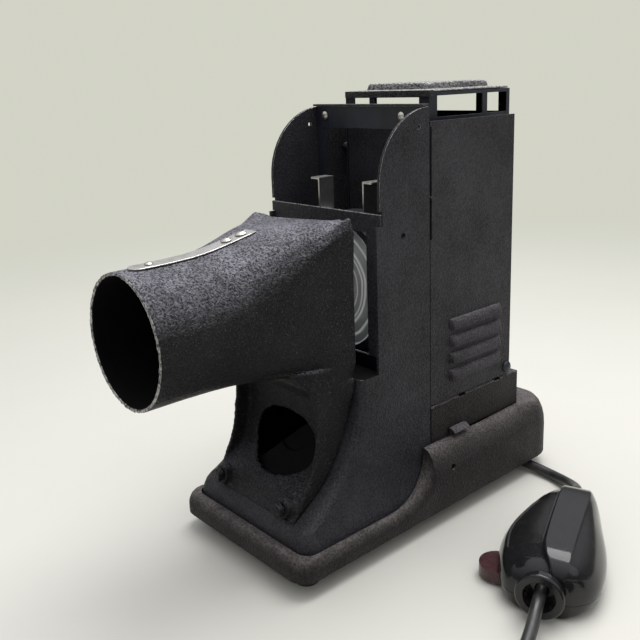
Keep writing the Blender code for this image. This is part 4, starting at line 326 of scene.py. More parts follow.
MAROON = phenolic("maroon_phenolic", (0.042, 0.014, 0.016), (0.10, 0.042, 0.040), (0.16, 0.34), 0.2, 0.3)
JACKET = clouded("cord_jacket", (0.014, 0.014, 0.015), (0.045, 0.043, 0.041), 70.0, 0.65, (0.35, 0.7),
                 (0.28, 0.5), (0.25, 0.0003, 420.0), IOR=1.5, Specular_IOR_Level=0.5)
GLASS = dusty_glass("dusty_glass")
LENS_GLASS = dusty_glass("lens_glass_painted_rings", LENS_PAINTED_RINGS)
PORCELAIN = clouded("glazed_porcelain", (0.80, 0.78, 0.72), (0.62, 0.58, 0.50), 90.0, 0.5, (0.35, 0.7),
                    (0.12, 0.3), Coat_Weight=0.4, Coat_Roughness=0.08)
RUBBER = clouded("foot_rubber", (0.012, 0.012, 0.012), (0.04, 0.038, 0.036), 320.0, 0.7, (0.4, 0.7),
                 (0.6, 0.85), (0.3, 0.0003, 700.0), IOR=1.5)
SLOT_MATERIALS = {"crinkle_black": CRINKLE, "cast_black": CAST, "smooth_black": SMOOTH, "bright_steel": STEEL,
                  "strip_metal": STRIP, "clear_glass": GLASS, "silvered": SILVERED, "brass": BRASS,
                  "porcelain": PORCELAIN, "foot_rubber": RUBBER, "cord_rubber": JACKET,
                  "black_phenolic": PHENOLIC, "maroon_phenolic": MAROON}

RECORD = frame["record"]
BODY_OF = {node: body for body, nodes in RECORD["behaviour"]["bodies"].items() for node in nodes}
SLOT_OF = {part["node"]: part["material_slot"] for part in RECORD["subparts"]}


# Making pieces

WELD = 1e-5
SHARP = 0.5


def built(name, bm, *materials):
    """A new piece from a bmesh, which is freed."""
    mesh = bpy.data.meshes.new(name)
    bm.to_mesh(mesh)
    bm.free()
    for material in materials:
        mesh.materials.append(material)
    piece = bpy.data.objects.new(name, mesh)
    bpy.context.scene.collection.objects.link(piece)
    return piece


def shade_smooth(piece):
    faces = piece.data.polygons
    faces.foreach_set("use_smooth", [True] * len(faces))


def welded(node):
    """A node's mesh as one welded bmesh, with the coplanar triangles joined up again."""
    bm = bmesh.new()
    bm.from_mesh(frame["nodes"][node].data)
    bmesh.ops.remove_doubles(bm, verts=bm.verts, dist=WELD)
    bmesh.ops.dissolve_limit(bm, angle_limit=math.radians(0.5), verts=bm.verts, edges=bm.edges)
    bmesh.ops.recalc_face_normals(bm, faces=bm.faces)
    return bm


def paint_faces(piece, index, chosen):
    for face in piece.data.polygons:
        if chosen(face):
            face.material_index = index


def evaluated_copy(piece):
    """The piece's mesh with its modifiers applied; the piece itself goes."""
    graph = bpy.context.evaluated_depsgraph_get()
    mesh = bpy.data.meshes.new_from_object(piece.evaluated_get(graph))
    bpy.data.objects.remove(piece)
    return mesh


def lofted(rings):
    """A closed shape through rings of points, all with as many points, as a bmesh."""
    bm = bmesh.new()
    rings = [[bm.verts.new(point) for point in ring] for ring in rings]
    count = len(rings[0])
    for one, two in zip(rings, rings[1:]):
        for i in range(count):
            j = (i + 1) % count
            bm.faces.new((one[i], one[j], two[j], two[i]))
    bm.faces.new(rings[0])
    bm.faces.new(rings[-1][::-1])
    bmesh.ops.recalc_face_normals(bm, faces=bm.faces)
    return bm


def extruded(outline, low, high, place):
    """A closed prism as a bmesh: outline points (a, b) drawn by place(a, b, height)."""
    return lofted([[place(a, b, h) for a, b in outline] for h in (low, high)])


def carved(bm, cutters):
    """The shape less the cutters' shapes, all of them bmeshes."""
    piece = built("carved", bm)
    tools = [built("cutter", cutter) for cutter in cutters]
    for tool in tools:
        modifier = piece.modifiers.new("cut", "BOOLEAN")
        modifier.operation = "DIFFERENCE"
        modifier.solver = "EXACT"
        modifier.object = tool
    bpy.context.view_layer.update()
    result = bmesh.new()
    result.from_mesh(evaluated_copy(piece))
    for tool in tools:
        bpy.data.objects.remove(tool)
    bmesh.ops.remove_doubles(result, verts=result.verts, dist=1e-6)
    return result


def block(low, high):
    x, y = (low[0], high[0]), (low[1], high[1])
    outline = ((x[0], y[0]), (x[1], y[0]), (x[1], y[1]), (x[0], y[1]))
    return extruded(outline, low[2], high[2], lambda a, b, h: Vector((a, b, h)))


def divided(bm, *planes):
    """The shape with its faces split along planes, each a place and a direction."""
    for place, way in planes:
        bmesh.ops.bisect_plane(bm, geom=bm.verts[:] + bm.edges[:] + bm.faces[:], dist=1e-6, plane_co=place,
                               plane_no=way)
    return bm


def wear(bm, chosen, width):
    """Round off the chosen sharp edges and give the new faces the worn metal, which is material 1."""
    edges = [e for e in bm.edges if len(e.link_faces) == 2 and e.calc_face_angle(0) > SHARP and chosen(e)]
    if edges:
        bmesh.ops.bevel(bm, geom=edges, offset=width, offset_type="OFFSET", segments=3, profile=0.5,
                        affect="EDGES", material=1, clamp_overlap=True)


def round_edges(piece, width, segments=2, angle=32.0):
    if width:
        modifier = piece.modifiers.new("round", "BEVEL")
        modifier.width = width
        modifier.segments = segments
        modifier.angle_limit = math.radians(angle)
    modifier = piece.modifiers.new("flat", "WEIGHTED_NORMAL")
    modifier.weight = 60


def dress(node, material=None, width=0.0005, worn=None, worn_width=0.0004, segments=2, inside=None,
          cutters=(), shape=None):
    """A node's own shape as a new piece, with rounded edges, worn faces, faces of painted shade, and a
    material.

    worn picks the edges that are rubbed bare, and inside the faces that are deep in shadow, which get the
    painted shade.
    """
    bm = shape or welded(node)
    if cutters:
        bm = carved(bm, cutters)
    if worn:
        wear(bm, worn, worn_width)
    piece = built(node + "_form", bm, material or SLOT_MATERIALS[SLOT_OF[node]], WORN, PAINTED_SHADE)
    shade_smooth(piece)
    if inside:
        paint_faces(piece, 2, inside)
    round_edges(piece, width, segments)
    return settle(piece, node)


def along_table(table, at):
    """Read a value from rows of (place, value), straight between them."""
    for (low, a), (high, b) in zip(table, table[1:]):
        if at <= high:
            return a + (b - a) * min(max((at - low) / (high - low), 0.0), 1.0)
    return table[-1][1]


def eased(value, low, high):
    """0 at the low value or below, 1 at the high one or above, and smooth between them."""
    part = min(max((value - low) / (high - low), 0.0), 1.0)
    return part * part * (3 - 2 * part)


def trim(name, bm, body, *materials):
    """A small piece that the solids don't have, on a body."""
    piece = built(name, bm, *materials)
    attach(piece, body)
    return piece


def settle(piece, node, *also):
    """Let the piece stand for the nodes, on the first one's body."""
    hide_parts(node, *also)
    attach(piece, BODY_OF[node])
    return piece


# The cord: its lead from the base to the switch, then the run to the coil and the plug.
# The routes and the coil repeat those of the solids.

CORD_RADIUS = 0.00425
LEAD_ROUTE = ((0.0623, 0.1540, 0.0066), (0.0730, 0.1541, 0.0062), (0.0850, 0.1541, 0.0052),
              (0.0975, 0.1528, 0.0050), (0.1100, 0.1484, 0.0066), (0.1213, 0.1407, 0.0100),
              (0.1300, 0.1320, 0.0140), (0.1365, 0.1225, 0.0178), (0.1411, 0.1128, 0.0198),
              (0.1445, 0.1045, 0.0200), (0.14828, 0.09523, 0.0200))
RUN_ROUTE = ((0.18834, -0.00317, 0.0195), (0.1914, -0.0107, 0.0195), (0.1946, -0.0185, 0.0188),
             (0.1978, -0.0263, 0.0164), (0.2013, -0.0350, 0.0125), (0.2052, -0.0464, 0.0084),
             (0.2090, -0.0580, 0.0063), (0.2124, -0.0684, 0.0057), (0.2161, -0.0776, 0.0057),
             (0.2198, -0.0869, 0.0057))
TAIL_ROUTE = ((0.3392, -0.0365, 0.0149), (0.3360, -0.0260, 0.0149), (0.3340, -0.0150, 0.0149),
              (0.3330, -0.0040, 0.0149), (0.3327, 0.0060, 0.0149))
COIL_CENTRE = Vector((0.2868, -0.0798, 0.0))
COIL_MEAN_RADIUS = 0.0510
COIL_LAYER_TURNS = 3
COIL_PITCH = 0.0092
COIL_FLOOR_Z = 0.0057
COIL_START = math.radians(202.0)
COIL_CLIMB_BULGE = 0.0014
LOOP_POINTS = 24
COIL_OUTER = COIL_MEAN_RADIUS + COIL_PITCH * COIL_LAYER_TURNS / 2
COIL_INNER = COIL_MEAN_RADIUS - COIL_PITCH * COIL_LAYER_TURNS / 2


def coil_points():
    """Inward along the lower layer, up through half a turn, then outward along the upper layer."""
    layer, climb = COIL_LAYER_TURNS * LOOP_POINTS, LOOP_POINTS // 2
    points = []
    for i in range(2 * layer + climb + 1):
        angle = COIL_START + math.tau * i / LOOP_POINTS
        if i <= layer:
            radius, z = COIL_OUTER - COIL_PITCH * i / LOOP_POINTS, COIL_FLOOR_Z
        elif i <= layer + climb:
            part = (i - layer) / climb
            radius = COIL_INNER - COIL_CLIMB_BULGE * math.sin(math.pi * part)
            z = COIL_FLOOR_Z + COIL_PITCH * part
        else:
            radius = COIL_INNER + COIL_PITCH * (i - layer - climb) / LOOP_POINTS
            z = COIL_FLOOR_Z + COIL_PITCH
        points.append(COIL_CENTRE + Vector((radius * math.cos(angle), radius * math.sin(angle), z)))
    return points


def route_curve(name, points):
    """A round cord whose centre line passes smoothly through the points."""
    data = bpy.data.curves.new(name, "CURVE")
    data.dimensions = "3D"
    data.bevel_depth = CORD_RADIUS
    data.bevel_resolution = 5
    data.use_fill_caps = True
    data.resolution_u = 6
    spline = data.splines.new("BEZIER")
    spline.bezier_points.add(len(points) - 1)
    for i, point in enumerate(points):
        before, after = points[max(i - 1, 0)], points[min(i + 1, len(points) - 1)]
        way = (after - before).normalized()
        handle = spline.bezier_points[i]
        handle.co = point
        handle.handle_left_type = handle.handle_right_type = "FREE"
        handle.handle_left = point - way * (point - before).length / 3
        handle.handle_right = point + way * (after - point).length / 3
    piece = bpy.data.objects.new(name, data)
    bpy.context.scene.collection.objects.link(piece)
    data.materials.append(JACKET)
    return piece


def make_cords():
    lead, run, tail = ([Vector(p) for p in route] for route in (LEAD_ROUTE, RUN_ROUTE, TAIL_ROUTE))
    piece = settle(route_curve("lead_cord", lead), "cord_lead")
    run += coil_points() + tail
    piece = settle(route_curve("mains_cord", run), "cord_run", "cord_coil", "cord_tail")


SWITCH_ORIGIN = Vector((0.1905, -0.0085, 0.0))
SWITCH_HEADING = Vector((-0.3770, 0.9262, 0.0)).normalized()
SWITCH_RIGHT = Vector((SWITCH_HEADING.y, -SWITCH_HEADING.x, 0.0))
SWITCH_LENGTH = 0.118
SWITCH_HALF_WIDTH = 0.0355
SWITCH_FLOOR_Z = 0.0003
SWITCH_TOP_Z = 0.0430
SWITCH_SPLIT_Z = 0.0115
SWITCH_CORD_Z = (0.0195, 0.0200)
SPLIT_GAP = 0.00015
SOCKET_RADIUS = 0.0049
SOCKET_DEPTH = 0.0063
LEVER_ALONG = 0.27 * SWITCH_LENGTH
LEVER_OFFSET = 0.014
LEVER_ARM = 0.0225
LEVER_SWING = math.radians(36.0)
LEVER_STEPS = 4
LEVER_ROOM_Z = (0.0022, 0.0125)
LEVER_ROOM_RADIUS = 0.0165
ROUND_SIDES = 24
# Share of the length, left and right half widths and height as shares, then the panel's left edge in metres
SWITCH_SHARES = ((0.0, 0.55, 0.50, 0.66, 0.0060), (0.02, 0.68, 0.62, 0.79, 0.0050),
                 (0.055, 0.79, 0.77, 0.90, 0.0025), (0.105, 0.88, 0.89, 0.965, -0.0015),
                 (0.18, 0.98, 0.98, 0.99, -0.0036), (0.28, 1.05, 1.0, 1.0, -0.0042),
                 (0.38, 1.10, 0.99, 1.0, -0.0048), (0.50, 1.08, 0.94, 1.0, -0.0052),
                 (0.62, 0.98, 0.84, 1.0, -0.0056), (0.74, 0.86, 0.74, 0.99, -0.0060),
                 (0.85, 0.74, 0.66, 0.96, -0.0062), (0.95, 0.60, 0.55, 0.88, -0.0062),
                 (1.0, 0.44, 0.40, 0.74, -0.0055))
# The left flank from the floor to the raised panel, and the right one back: outward and upward shares.
# The right one ends below as the left one begins.
LEFT_FLANK = ((0.62, 0.0), (0.88, 0.06), (0.98, 0.20), (1.0, 0.34), (0.95, 0.50), (0.84, 0.66),
              (0.62, 0.78), (0.36, 0.865))
RIGHT_FLANK = ((0.40, 0.86), (0.74, 0.68), (0.94, 0.50), (1.0, 0.34))
RIGHT_FOOT = LEFT_FLANK[2::-1]
# The raised panel's two edges: how far in metres from the edge's place, and the share of the height
PANEL_LEFT_EDGE = ((-0.0008, 0.905), (0.0, 0.985), (0.0010, 1.0))
PANEL_RIGHT_EDGE = ((-0.0012, 0.985), (0.0, 0.955))
PANEL_RIGHT = 0.0165
PANEL_MOST_SHARE = 0.74
# The bare field on the left flank: its first and last stations and points, and how it is sunk
FIELD_STATIONS = (4, 10)
FIELD_POINTS = (5, 8)
FIELD_MARGIN = 0.0016
FIELD_SLOPE = 0.0005
FIELD_DEPTH = 0.0012
# How sharp the smoothed body's edges stay
PANEL_CREASE = 0.85
PANEL_FRONT_CREASE = 0.4
END_CREASE = 0.6
FIELD_CREASE = 0.7


def switch_place(across, along, z):
    """A place on the switch, by how far it is to the right, along and up."""
    return SWITCH_ORIGIN + SWITCH_RIGHT * across + SWITCH_HEADING * along + Vector((0.0, 0.0, z))


def switch_outline(wide_left, wide_right, height, edge):
    """The body's cross-section at one station, from the left foot over the top to the right foot."""
    left, half = SWITCH_HALF_WIDTH * wide_left, SWITCH_HALF_WIDTH * wide_right
    tall = (SWITCH_TOP_Z - SWITCH_FLOOR_Z) * height
    right = min(PANEL_RIGHT, half * PANEL_MOST_SHARE)
    line = [(edge - (left + edge) * out, tall * up) for out, up in LEFT_FLANK]
    line += [(edge + step, tall * up) for step, up in PANEL_LEFT_EDGE]
    line += [(right + step, tall * up) for step, up in PANEL_RIGHT_EDGE]
    line += [(right + (half - right) * out, tall * up) for out, up in RIGHT_FLANK]
    line += [(half * out, tall * up) for out, up in RIGHT_FOOT]
    return [(x, z + SWITCH_FLOOR_Z) for x, z in line]


def circle(radius):
    angles = [math.tau * i / ROUND_SIDES for i in range(ROUND_SIDES)]
    return [Vector((radius * math.cos(a), radius * math.sin(a))) for a in angles]


def round_cutter(start, end, radius):
    way = (end - start).normalized()
    side = way.orthogonal().normalized()
    other = way.cross(side)
    return extruded(circle(radius), 0.0, (end - start).length,
                    lambda a, b, h: start + side * a + other * b + way * h)


def switch_body():
    """A smooth egg with a raised flat panel along it and a bare sunken field beside the panel."""
    bm = bmesh.new()
    crease = bm.edges.layers.float.new("crease_edge")
    rows = [[bm.verts.new(switch_place(x, SWITCH_LENGTH * along, z))
             for x, z in switch_outline(*shares)] for along, *shares in SWITCH_SHARES]
    count = len(rows[0])
    grid = {}
    for i, (one, two) in enumerate(zip(rows, rows[1:])):
        for j in range(count):
            k = (j + 1) % count
            grid[i, j] = bm.faces.new((one[j], one[k], two[k], two[j]))
    caps = [bm.faces.new(rows[0][::-1]), bm.faces.new(rows[-1])]
    first = len(LEFT_FLANK)
    for j in range(first, first + len(PANEL_LEFT_EDGE) + len(PANEL_RIGHT_EDGE)):
        for i, (one, two) in enumerate(zip(rows, rows[1:])):
            sharp = PANEL_CREASE if i >= FIELD_STATIONS[0] else PANEL_FRONT_CREASE
            bm.edges.get((one[j], two[j]))[crease] = sharp
    for cap in caps:
        for edge in cap.edges:
            edge[crease] = END_CREASE
    bmesh.ops.recalc_face_normals(bm, faces=bm.faces)
    field = [grid[i, j] for i in range(*FIELD_STATIONS) for j in range(*FIELD_POINTS)]
    bmesh.ops.inset_region(bm, faces=field, thickness=FIELD_MARGIN, depth=0.0, use_even_offset=True)
    lip = bmesh.ops.inset_region(bm, faces=field, thickness=FIELD_SLOPE, depth=-FIELD_DEPTH,
                                 use_even_offset=True)
    for face in field:
        face.material_index = 1
    for face in lip["faces"]:
        for edge in face.edges:
            edge[crease] = max(edge[crease], FIELD_CREASE)
    piece = built("switch_raw", bm, PHENOLIC, PHENOLIC_DULL)
    smoothing = piece.modifiers.new("smooth", "SUBSURF")
    smoothing.levels = smoothing.render_levels = 2
    return evaluated_copy(piece)


def make_half(node, mesh, above, cutters):
    """One of the switch's two shells: what of the body is above or below the split, less the cutters."""
    bm = bmesh.new()
    bm.from_mesh(mesh)
    way = 1.0 if above else -1.0
    cut = bmesh.ops.bisect_plane(bm, geom=bm.verts[:] + bm.edges[:] + bm.faces[:], dist=1e-6,
                                 plane_co=(0.0, 0.0, SWITCH_SPLIT_Z + way * SPLIT_GAP),
                                 plane_no=(0.0, 0.0, way), clear_inner=True)
    bmesh.ops.edgenet_fill(bm, edges=[e for e in cut["geom_cut"] if isinstance(e, bmesh.types.BMEdge)])
    bmesh.ops.recalc_face_normals(bm, faces=bm.faces)
    piece = built(node + "_form", carved(bm, cutters), PHENOLIC, PHENOLIC_DULL)
    shade_smooth(piece)
    round_edges(piece, 0.0003, angle=40.0)
    return settle(piece, node)


def lever_room():
    """The space that the lever sweeps, as the hull of round places along its swing."""
    bm = bmesh.new()
    pivot = Vector((-LEVER_OFFSET, LEVER_ALONG))
    turns = [LEVER_SWING * i / LEVER_STEPS for i in range(LEVER_STEPS + 1)]
    places = [pivot] + [pivot + LEVER_ARM * Vector((-math.cos(a), math.sin(a))) for a in turns]
    for z in LEVER_ROOM_Z:
        for centre in places:
            for spot in circle(LEVER_ROOM_RADIUS):
                bm.verts.new(switch_place(*(centre + spot), z))
    hull = bmesh.ops.convex_hull(bm, input=bm.verts)
    bmesh.ops.delete(bm, geom=[v for v in hull["geom_interior"] if isinstance(v, bmesh.types.BMVert)],
                     context="VERTS")
    bmesh.ops.recalc_face_normals(bm, faces=bm.faces)
    return bm


def make_switch():
    """The in-line switch that the cord passes through, with a socket for it at each end."""
    body = switch_body()
    sockets = [round_cutter(switch_place(0.0, along - SOCKET_DEPTH, z),
                            switch_place(0.0, along + SOCKET_DEPTH, z), SOCKET_RADIUS)
               for along, z in zip((0.0, SWITCH_LENGTH), SWITCH_CORD_Z)]
    return [make_half("switch_upper", body, True, sockets + [lever_room()]),
            make_half("switch_lower", body, False, [lever_room()]),
            dress("switch_collar_front", width=0.0006, segments=3),
            dress("switch_collar_rear", width=0.0006, segments=3),
            dress("switch_lever", width=0.0014, segments=4),
            dress("lever_pin", STEEL, 0.0002)]


def make_plug():
    """The plug and the coil's tie, which are the separate pieces on the mains cord."""
    return [dress("plug_body", width=0.0008, segments=3), dress("plug_blade_left", BRASS, 0.0003),
            dress("plug_blade_right", BRASS, 0.0003), dress("coil_tie", width=0.0003)]


SWITCH_PIECES = make_switch()
PLUG_PIECES = make_plug()
make_cords()


# The projector

ACROSS, ALONG, UP = Vector((1, 0, 0)), Vector((0, 1, 0)), Vector((0, 0, 1))


def edge_centre(edge):
    return (edge.verts[0].co + edge.verts[1].co) / 2


# Rise of the nose's rear top edge across its width, both in metres: it sags, and its corners turn up
MOUTH_LINE = ((-0.0600, 0.0040), (-0.0520, -0.0010), (-0.0420, -0.0046), (-0.0330, -0.0062),
              (-0.0120, -0.0051), (0.0110, -0.0036), (0.0350, -0.0019), (0.0460, 0.0008),
              (0.0520, 0.0055), (0.0570, 0.0075))
# Where that rise grows in, and how far its left and right corners stand outward
MOUTH_Y = (-0.088, -0.041)
MOUTH_Z = (0.205, 0.240)
CORNER_X = (0.040, 0.054)
CORNER_OUT = (-0.0030, 0.0014)
NOSE_AXIS_Z = 0.190
NOSE_RIM_Y = -0.1893
NOSE_VOXEL = 0.00125
# Half widths of the leg: of its head under the flare, by y, and of its own, by z
HEAD_LINE = ((-0.1000, 0.0320), (-0.0880, 0.0375), (-0.0800, 0.0414), (-0.0700, 0.0460),
             (-0.0600, 0.0500), (-0.0500, 0.0540), (-0.0410, 0.0555))
LEG_HALF_LINE = ((0.0436, 0.0480), (0.1500, 0.0525))
LEG_WEB = 0.0030
LEG_SKIN = LEG_WEB * 0.6
LEG_FRONT_Y = -0.110
HEAD_Z = (0.098, 0.150)
HEAD_JOIN_Z = 0.139
HEAD_TOP_Z = 0.1525
# Smoothing: passes, the least distance from the middle plane, and the ranges of y and z
SMOOTHING = ((2, 0.0, (-0.186, 1.0), (0.049, 1.0)),
             (8, 0.0, (-0.125, -0.043), (0.100, 0.157)),
             (24, 0.035, (-0.098, -0.045), (0.138, 0.162)))
# Below this height and behind this place the casting is its leg
LEG_INSIDE_Z = 0.128
LEG_INSIDE_Y = -0.125


def fair_leg(vert):
    """Draw the leg's side in under the flare, or out to the mouth at the rear, so that no ledge is left."""
    x, y, z = vert.co
    if not (HEAD_Z[0] < z < HEAD_TOP_Z and y > LEG_FRONT_Y):
        return
    half = along_table(LEG_HALF_LINE, z)
    limit = half + (along_table(HEAD_LINE, y) - half) * eased(z, *HEAD_Z)
    across = abs(x)
    if across > half - LEG_SKIN:
        across = limit if z < HEAD_JOIN_Z else min(across, limit)
    elif across > limit - LEG_WEB:
        across = limit - LEG_WEB
    vert.co.x = math.copysign(across, x)


def raise_mouth(vert):
    """Bend the rear top edge to its line and draw its corners outward."""
    x, y, z = vert.co
    near = eased(y, *MOUTH_Y) * eased(z, *MOUTH_Z)
    if near:
        vert.co.z += near * along_table(MOUTH_LINE, x)
        vert.co.x += near * eased(abs(x), *CORNER_X) * CORNER_OUT[x > 0]


def nose_shade_faces(face):
    """Whether a face of the casting looks inward: to the barrel's axis, or to the rear on the leg; such faces
    get the painted shade.
    """
    x, y, z = face.center
    if z < LEG_INSIDE_Z and y > LEG_INSIDE_Y:
        return face.normal.y > 0.35
    return face.normal.dot(Vector((x, 0.0, z - NOSE_AXIS_Z)).normalized()) < -0.3


def make_nose():
    """The casting with the soft edges of cast metal, with painted shade inside and bare at the barrel's rim.
    """
    raw = built("nose_raw", welded("nose_casting"))
    remesh = raw.modifiers.new("remesh", "REMESH")
    remesh.mode = "VOXEL"
    remesh.voxel_size = NOSE_VOXEL
    bm = bmesh.new()
    bm.from_mesh(evaluated_copy(raw))
    for vert in bm.verts:
        fair_leg(vert)
    for passes, middle, along, up in SMOOTHING:
        verts = [v for v in bm.verts if abs(v.co.x) >= middle and along[0] < v.co.y < along[1]
                 and up[0] < v.co.z < up[1]]
        for _ in range(passes):
            bmesh.ops.smooth_vert(bm, verts=verts, factor=0.5, use_axis_x=True, use_axis_y=True,
                                  use_axis_z=True)
    for vert in bm.verts:
        raise_mouth(vert)
    piece = built("nose_casting_form", bm, CAST, WORN, PAINTED_SHADE)
    shade_smooth(piece)
    # Painted shade on the faces that look inward.
    paint_faces(piece, 2, nose_shade_faces)
    paint_faces(piece, 1, lambda face: face.center.y < NOSE_RIM_Y)
    settle(piece, "nose_casting")


# The opening in the sloping front behind the leg: x and z of its outline
RAMP_OPENING = ((-0.0440, 0.0560), (-0.0360, 0.0580), (-0.0285, 0.0604), (-0.0246, 0.0620),
                (-0.0209, 0.0646), (-0.0175, 0.0682), (-0.0136, 0.0722), (-0.0100, 0.0765),
                (-0.0050, 0.0815), (0.0010, 0.0870), (0.0080, 0.0925), (0.0160, 0.0985),
                (0.0220, 0.1050), (0.0200, 0.1140), (-0.0100, 0.1180), (-0.0400, 0.1160),
                (-0.0460, 0.1000), (-0.0465, 0.0700))
RAMP_CUT_Y = (-0.100, -0.035)
# The sloping front's sheet: height and y
RAMP_LINE = ((0.0570, -0.0768), (0.0700, -0.0633), (0.0840, -0.0535), (0.0990, -0.0465),
             (0.1118, -0.0425), (0.1249, -0.0406))
# The lit lower edge of the opening: height and x
LIP_LINE = tuple((z, x) for x, z in RAMP_OPENING[5:13]) + ((0.1180, 0.0240),)
LIP_BEHIND = (0.0023, 0.0034)
LIP_REACH = 0.0250
# What the leg covers of the sloping front, which gets painted shade, and the ledge that is the slot's floor
LEG_COVER_X = 0.0455
LEG_COVER_Z = (0.0462, 0.128)
LEG_COVER_Y = -0.030
SLOT_FLOOR_Z = (0.128, 0.139)
SLOT_FLOOR_Y = -0.0385
# The side sheets' inner faces, and the back of the sloping front, which also get painted shade
SIDE_INNER_X = 0.045
SIDE_INNER_Z = 0.20
FRONT_BACK = (0.0575, 0.04, 0.135)
# Rubbed edges: the arcs of the side sheets, the ledge's front edge and the opening's rim
ARC_Z = 0.262
ARC_Y = 0.045
LEDGE_EDGE_Y = -0.038
RIM_X = 0.043
RIM_Y = -0.035
RIM_Z = (0.0555, 0.118)


def make_ramp_lip():
    """The sheet behind the sloping front that bounds its opening below, in painted shade, with a bare edge.
    """
    rings = []
    for z, x in LIP_LINE:
        front, back = (along_table(RAMP_LINE, z) + behind for behind in LIP_BEHIND)
        rings.append(((x, front, z), (LIP_REACH, front, z), (LIP_REACH, back, z), (x, back, z)))
    piece = trim("ramp_lip", lofted(rings), "root", PAINTED_SHADE, WORN)
    paint_faces(piece, 1, lambda face: face.normal.x < -0.5)


def worn_housing(edge):
    x, y, z = edge_centre(edge)
    arc = z > ARC_Z and y < ARC_Y
    ledge = SLOT_FLOOR_Z[0] < z < SLOT_FLOOR_Z[1] and y < LEDGE_EDGE_Y
    rim = abs(x) < RIM_X and RIM_Z[0] < z < RIM_Z[1] and y < RIM_Y
    return arc or ledge or rim


# The housing's faces that get painted shade: what the leg covers, the slot's floor, the side sheets' inner
# faces and the back of the sloping front.
def housing_shade_faces(face):
    x, y, z = face.center
    normal = face.normal
    covered = abs(x) < LEG_COVER_X and LEG_COVER_Z[0] < z < LEG_COVER_Z[1] and y < LEG_COVER_Y
    floor = SLOT_FLOOR_Z[0] < z < SLOT_FLOOR_Z[1] and normal.z > 0.7 and y > SLOT_FLOOR_Y
    wall = normal.x * x < -0.3 * abs(x) and abs(x) > SIDE_INNER_X and z < SIDE_INNER_Z
    back = abs(x) < FRONT_BACK[0] and y < FRONT_BACK[1] and z < FRONT_BACK[2] and normal.y > 0.3
    return covered or floor or wall or back


def make_housing():
    cutter = extruded(RAMP_OPENING, *RAMP_CUT_Y, lambda x, z, y: Vector((x, y, z)))
    shape = carved(welded("front_housing"), [cutter])
    shape = divided(shape, *((ACROSS * x, ACROSS) for x in (-LEG_COVER_X, LEG_COVER_X)),
                    *((UP * z, UP) for z in LEG_COVER_Z))
    dress("front_housing", width=0.0004, worn=worn_housing, worn_width=0.0005, inside=housing_shade_faces,
          shape=shape)
    make_ramp_lip()


WINDOW_LOW_Z = 0.149
WINDOW_HALF = 0.047
WINDOW_CLOSE = 0.0002
PLATE_TOP_Z = 0.2515


def worn_plate(edge):
    x, y, z = edge_centre(edge)
    return z > PLATE_TOP_Z or abs(z - WINDOW_LOW_Z) < WINDOW_CLOSE and abs(x) < WINDOW_HALF


def make_aperture():
    """The plate behind the slot: black below its window, where the slot is in shadow."""
    dress("aperture_plate", width=0.0003, worn=worn_plate, shape=divided(welded("aperture_plate"), (
        UP * WINDOW_LOW_Z, UP)), inside=lambda face: face.center.z < WINDOW_LOW_Z - WINDOW_CLOSE)


# A cutter for a driver slot reaches past any screw's head
SLOT_REACH = 0.006


def slotted(node, place, normal, along, width, depth):
    """A steel screw with a driver slot across its head: place is the top of the head."""
    side = normal.cross(along).normalized()
    half = width / 2
    outline = ((-SLOT_REACH, -half), (SLOT_REACH, -half), (SLOT_REACH, half), (-SLOT_REACH, half))
    cutter = extruded(outline, -depth, SLOT_REACH, lambda a, b, h: place + along * a + side * b + normal * h)
    dress(node, STEEL, cutters=[cutter], segments=3)


# The strip's sections are taken where it is full width or on its round end,
# and not at a hole.
STRIP_FULL = 0.0060
STRIP_ROUND_Y = -0.1749
STRIP_THIN = 0.0008
STRIP_EDGE = 0.0003


def make_strip():
    """The spring strip in one piece, through the sections of the blade and of its root."""
    rows = {}
    for node in ("spring_blade", "spring_root"):
        for vert in frame["nodes"][node].data.vertices:
            rows.setdefault(round(vert.co.y, 4), []).append(vert.co.copy())
    stations = []
    for y in sorted(rows):
        half = max(abs(v.x) for v in rows[y])
        edge = [v.z for v in rows[y] if abs(v.x) > half - WELD]
        if (half > STRIP_FULL or y < STRIP_ROUND_Y) and max(edge) - min(edge) > STRIP_THIN:
            stations.append((y, half, min(edge), max(edge)))
    rings = []
    for y, half, low, high in stations:
        edge = min(STRIP_EDGE, half / 4)
        section = ((-half, low + edge), (-half + edge, low), (half - edge, low), (half, low + edge),
                   (half, high - edge), (half - edge, high), (-half + edge, high), (-half, high - edge))
        rings.append([(x, y, z) for x, z in section])
    piece = built("spring_strip", lofted(rings), STRIP)
    shade_smooth(piece)
    modifier = piece.modifiers.new("flat", "WEIGHTED_NORMAL")
    modifier.weight = 80
    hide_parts("spring_blade", "spring_root")
    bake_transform(piece)


def top_of(node):
    low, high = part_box(node)
    return Vector(((low.x + high.x) / 2, (low.y + high.y) / 2, high.z))


# The tab folded out of the lamp pan and over the tray's shoulder: along y, then out and up from the pan
TAB_Y = (0.0540, 0.0730)
TAB_LINE = ((0.0606, 0.0712), (0.0618, 0.0717), (0.0636, 0.0713), (0.0658, 0.0700), (0.0676, 0.0684))
TAB_SHEET = 0.0006


def make_pan_tab():
    outline = [*TAB_LINE, *((x - TAB_SHEET / 2, z - TAB_SHEET) for x, z in TAB_LINE[::-1])]
    sheet = extruded(outline, *TAB_Y, lambda x, z, y: Vector((x, y, z)))
    piece = trim("pan_tab", sheet, "root", CRINKLE_JACKET)
    shade_smooth(piece)
    round_edges(piece, 0.0003)


# Edges above these heights are rubbed bare
BULKHEAD_WORN_Z = 0.318
PAN_WORN_Z = 0.093
ARM_WORN_Z = 0.246
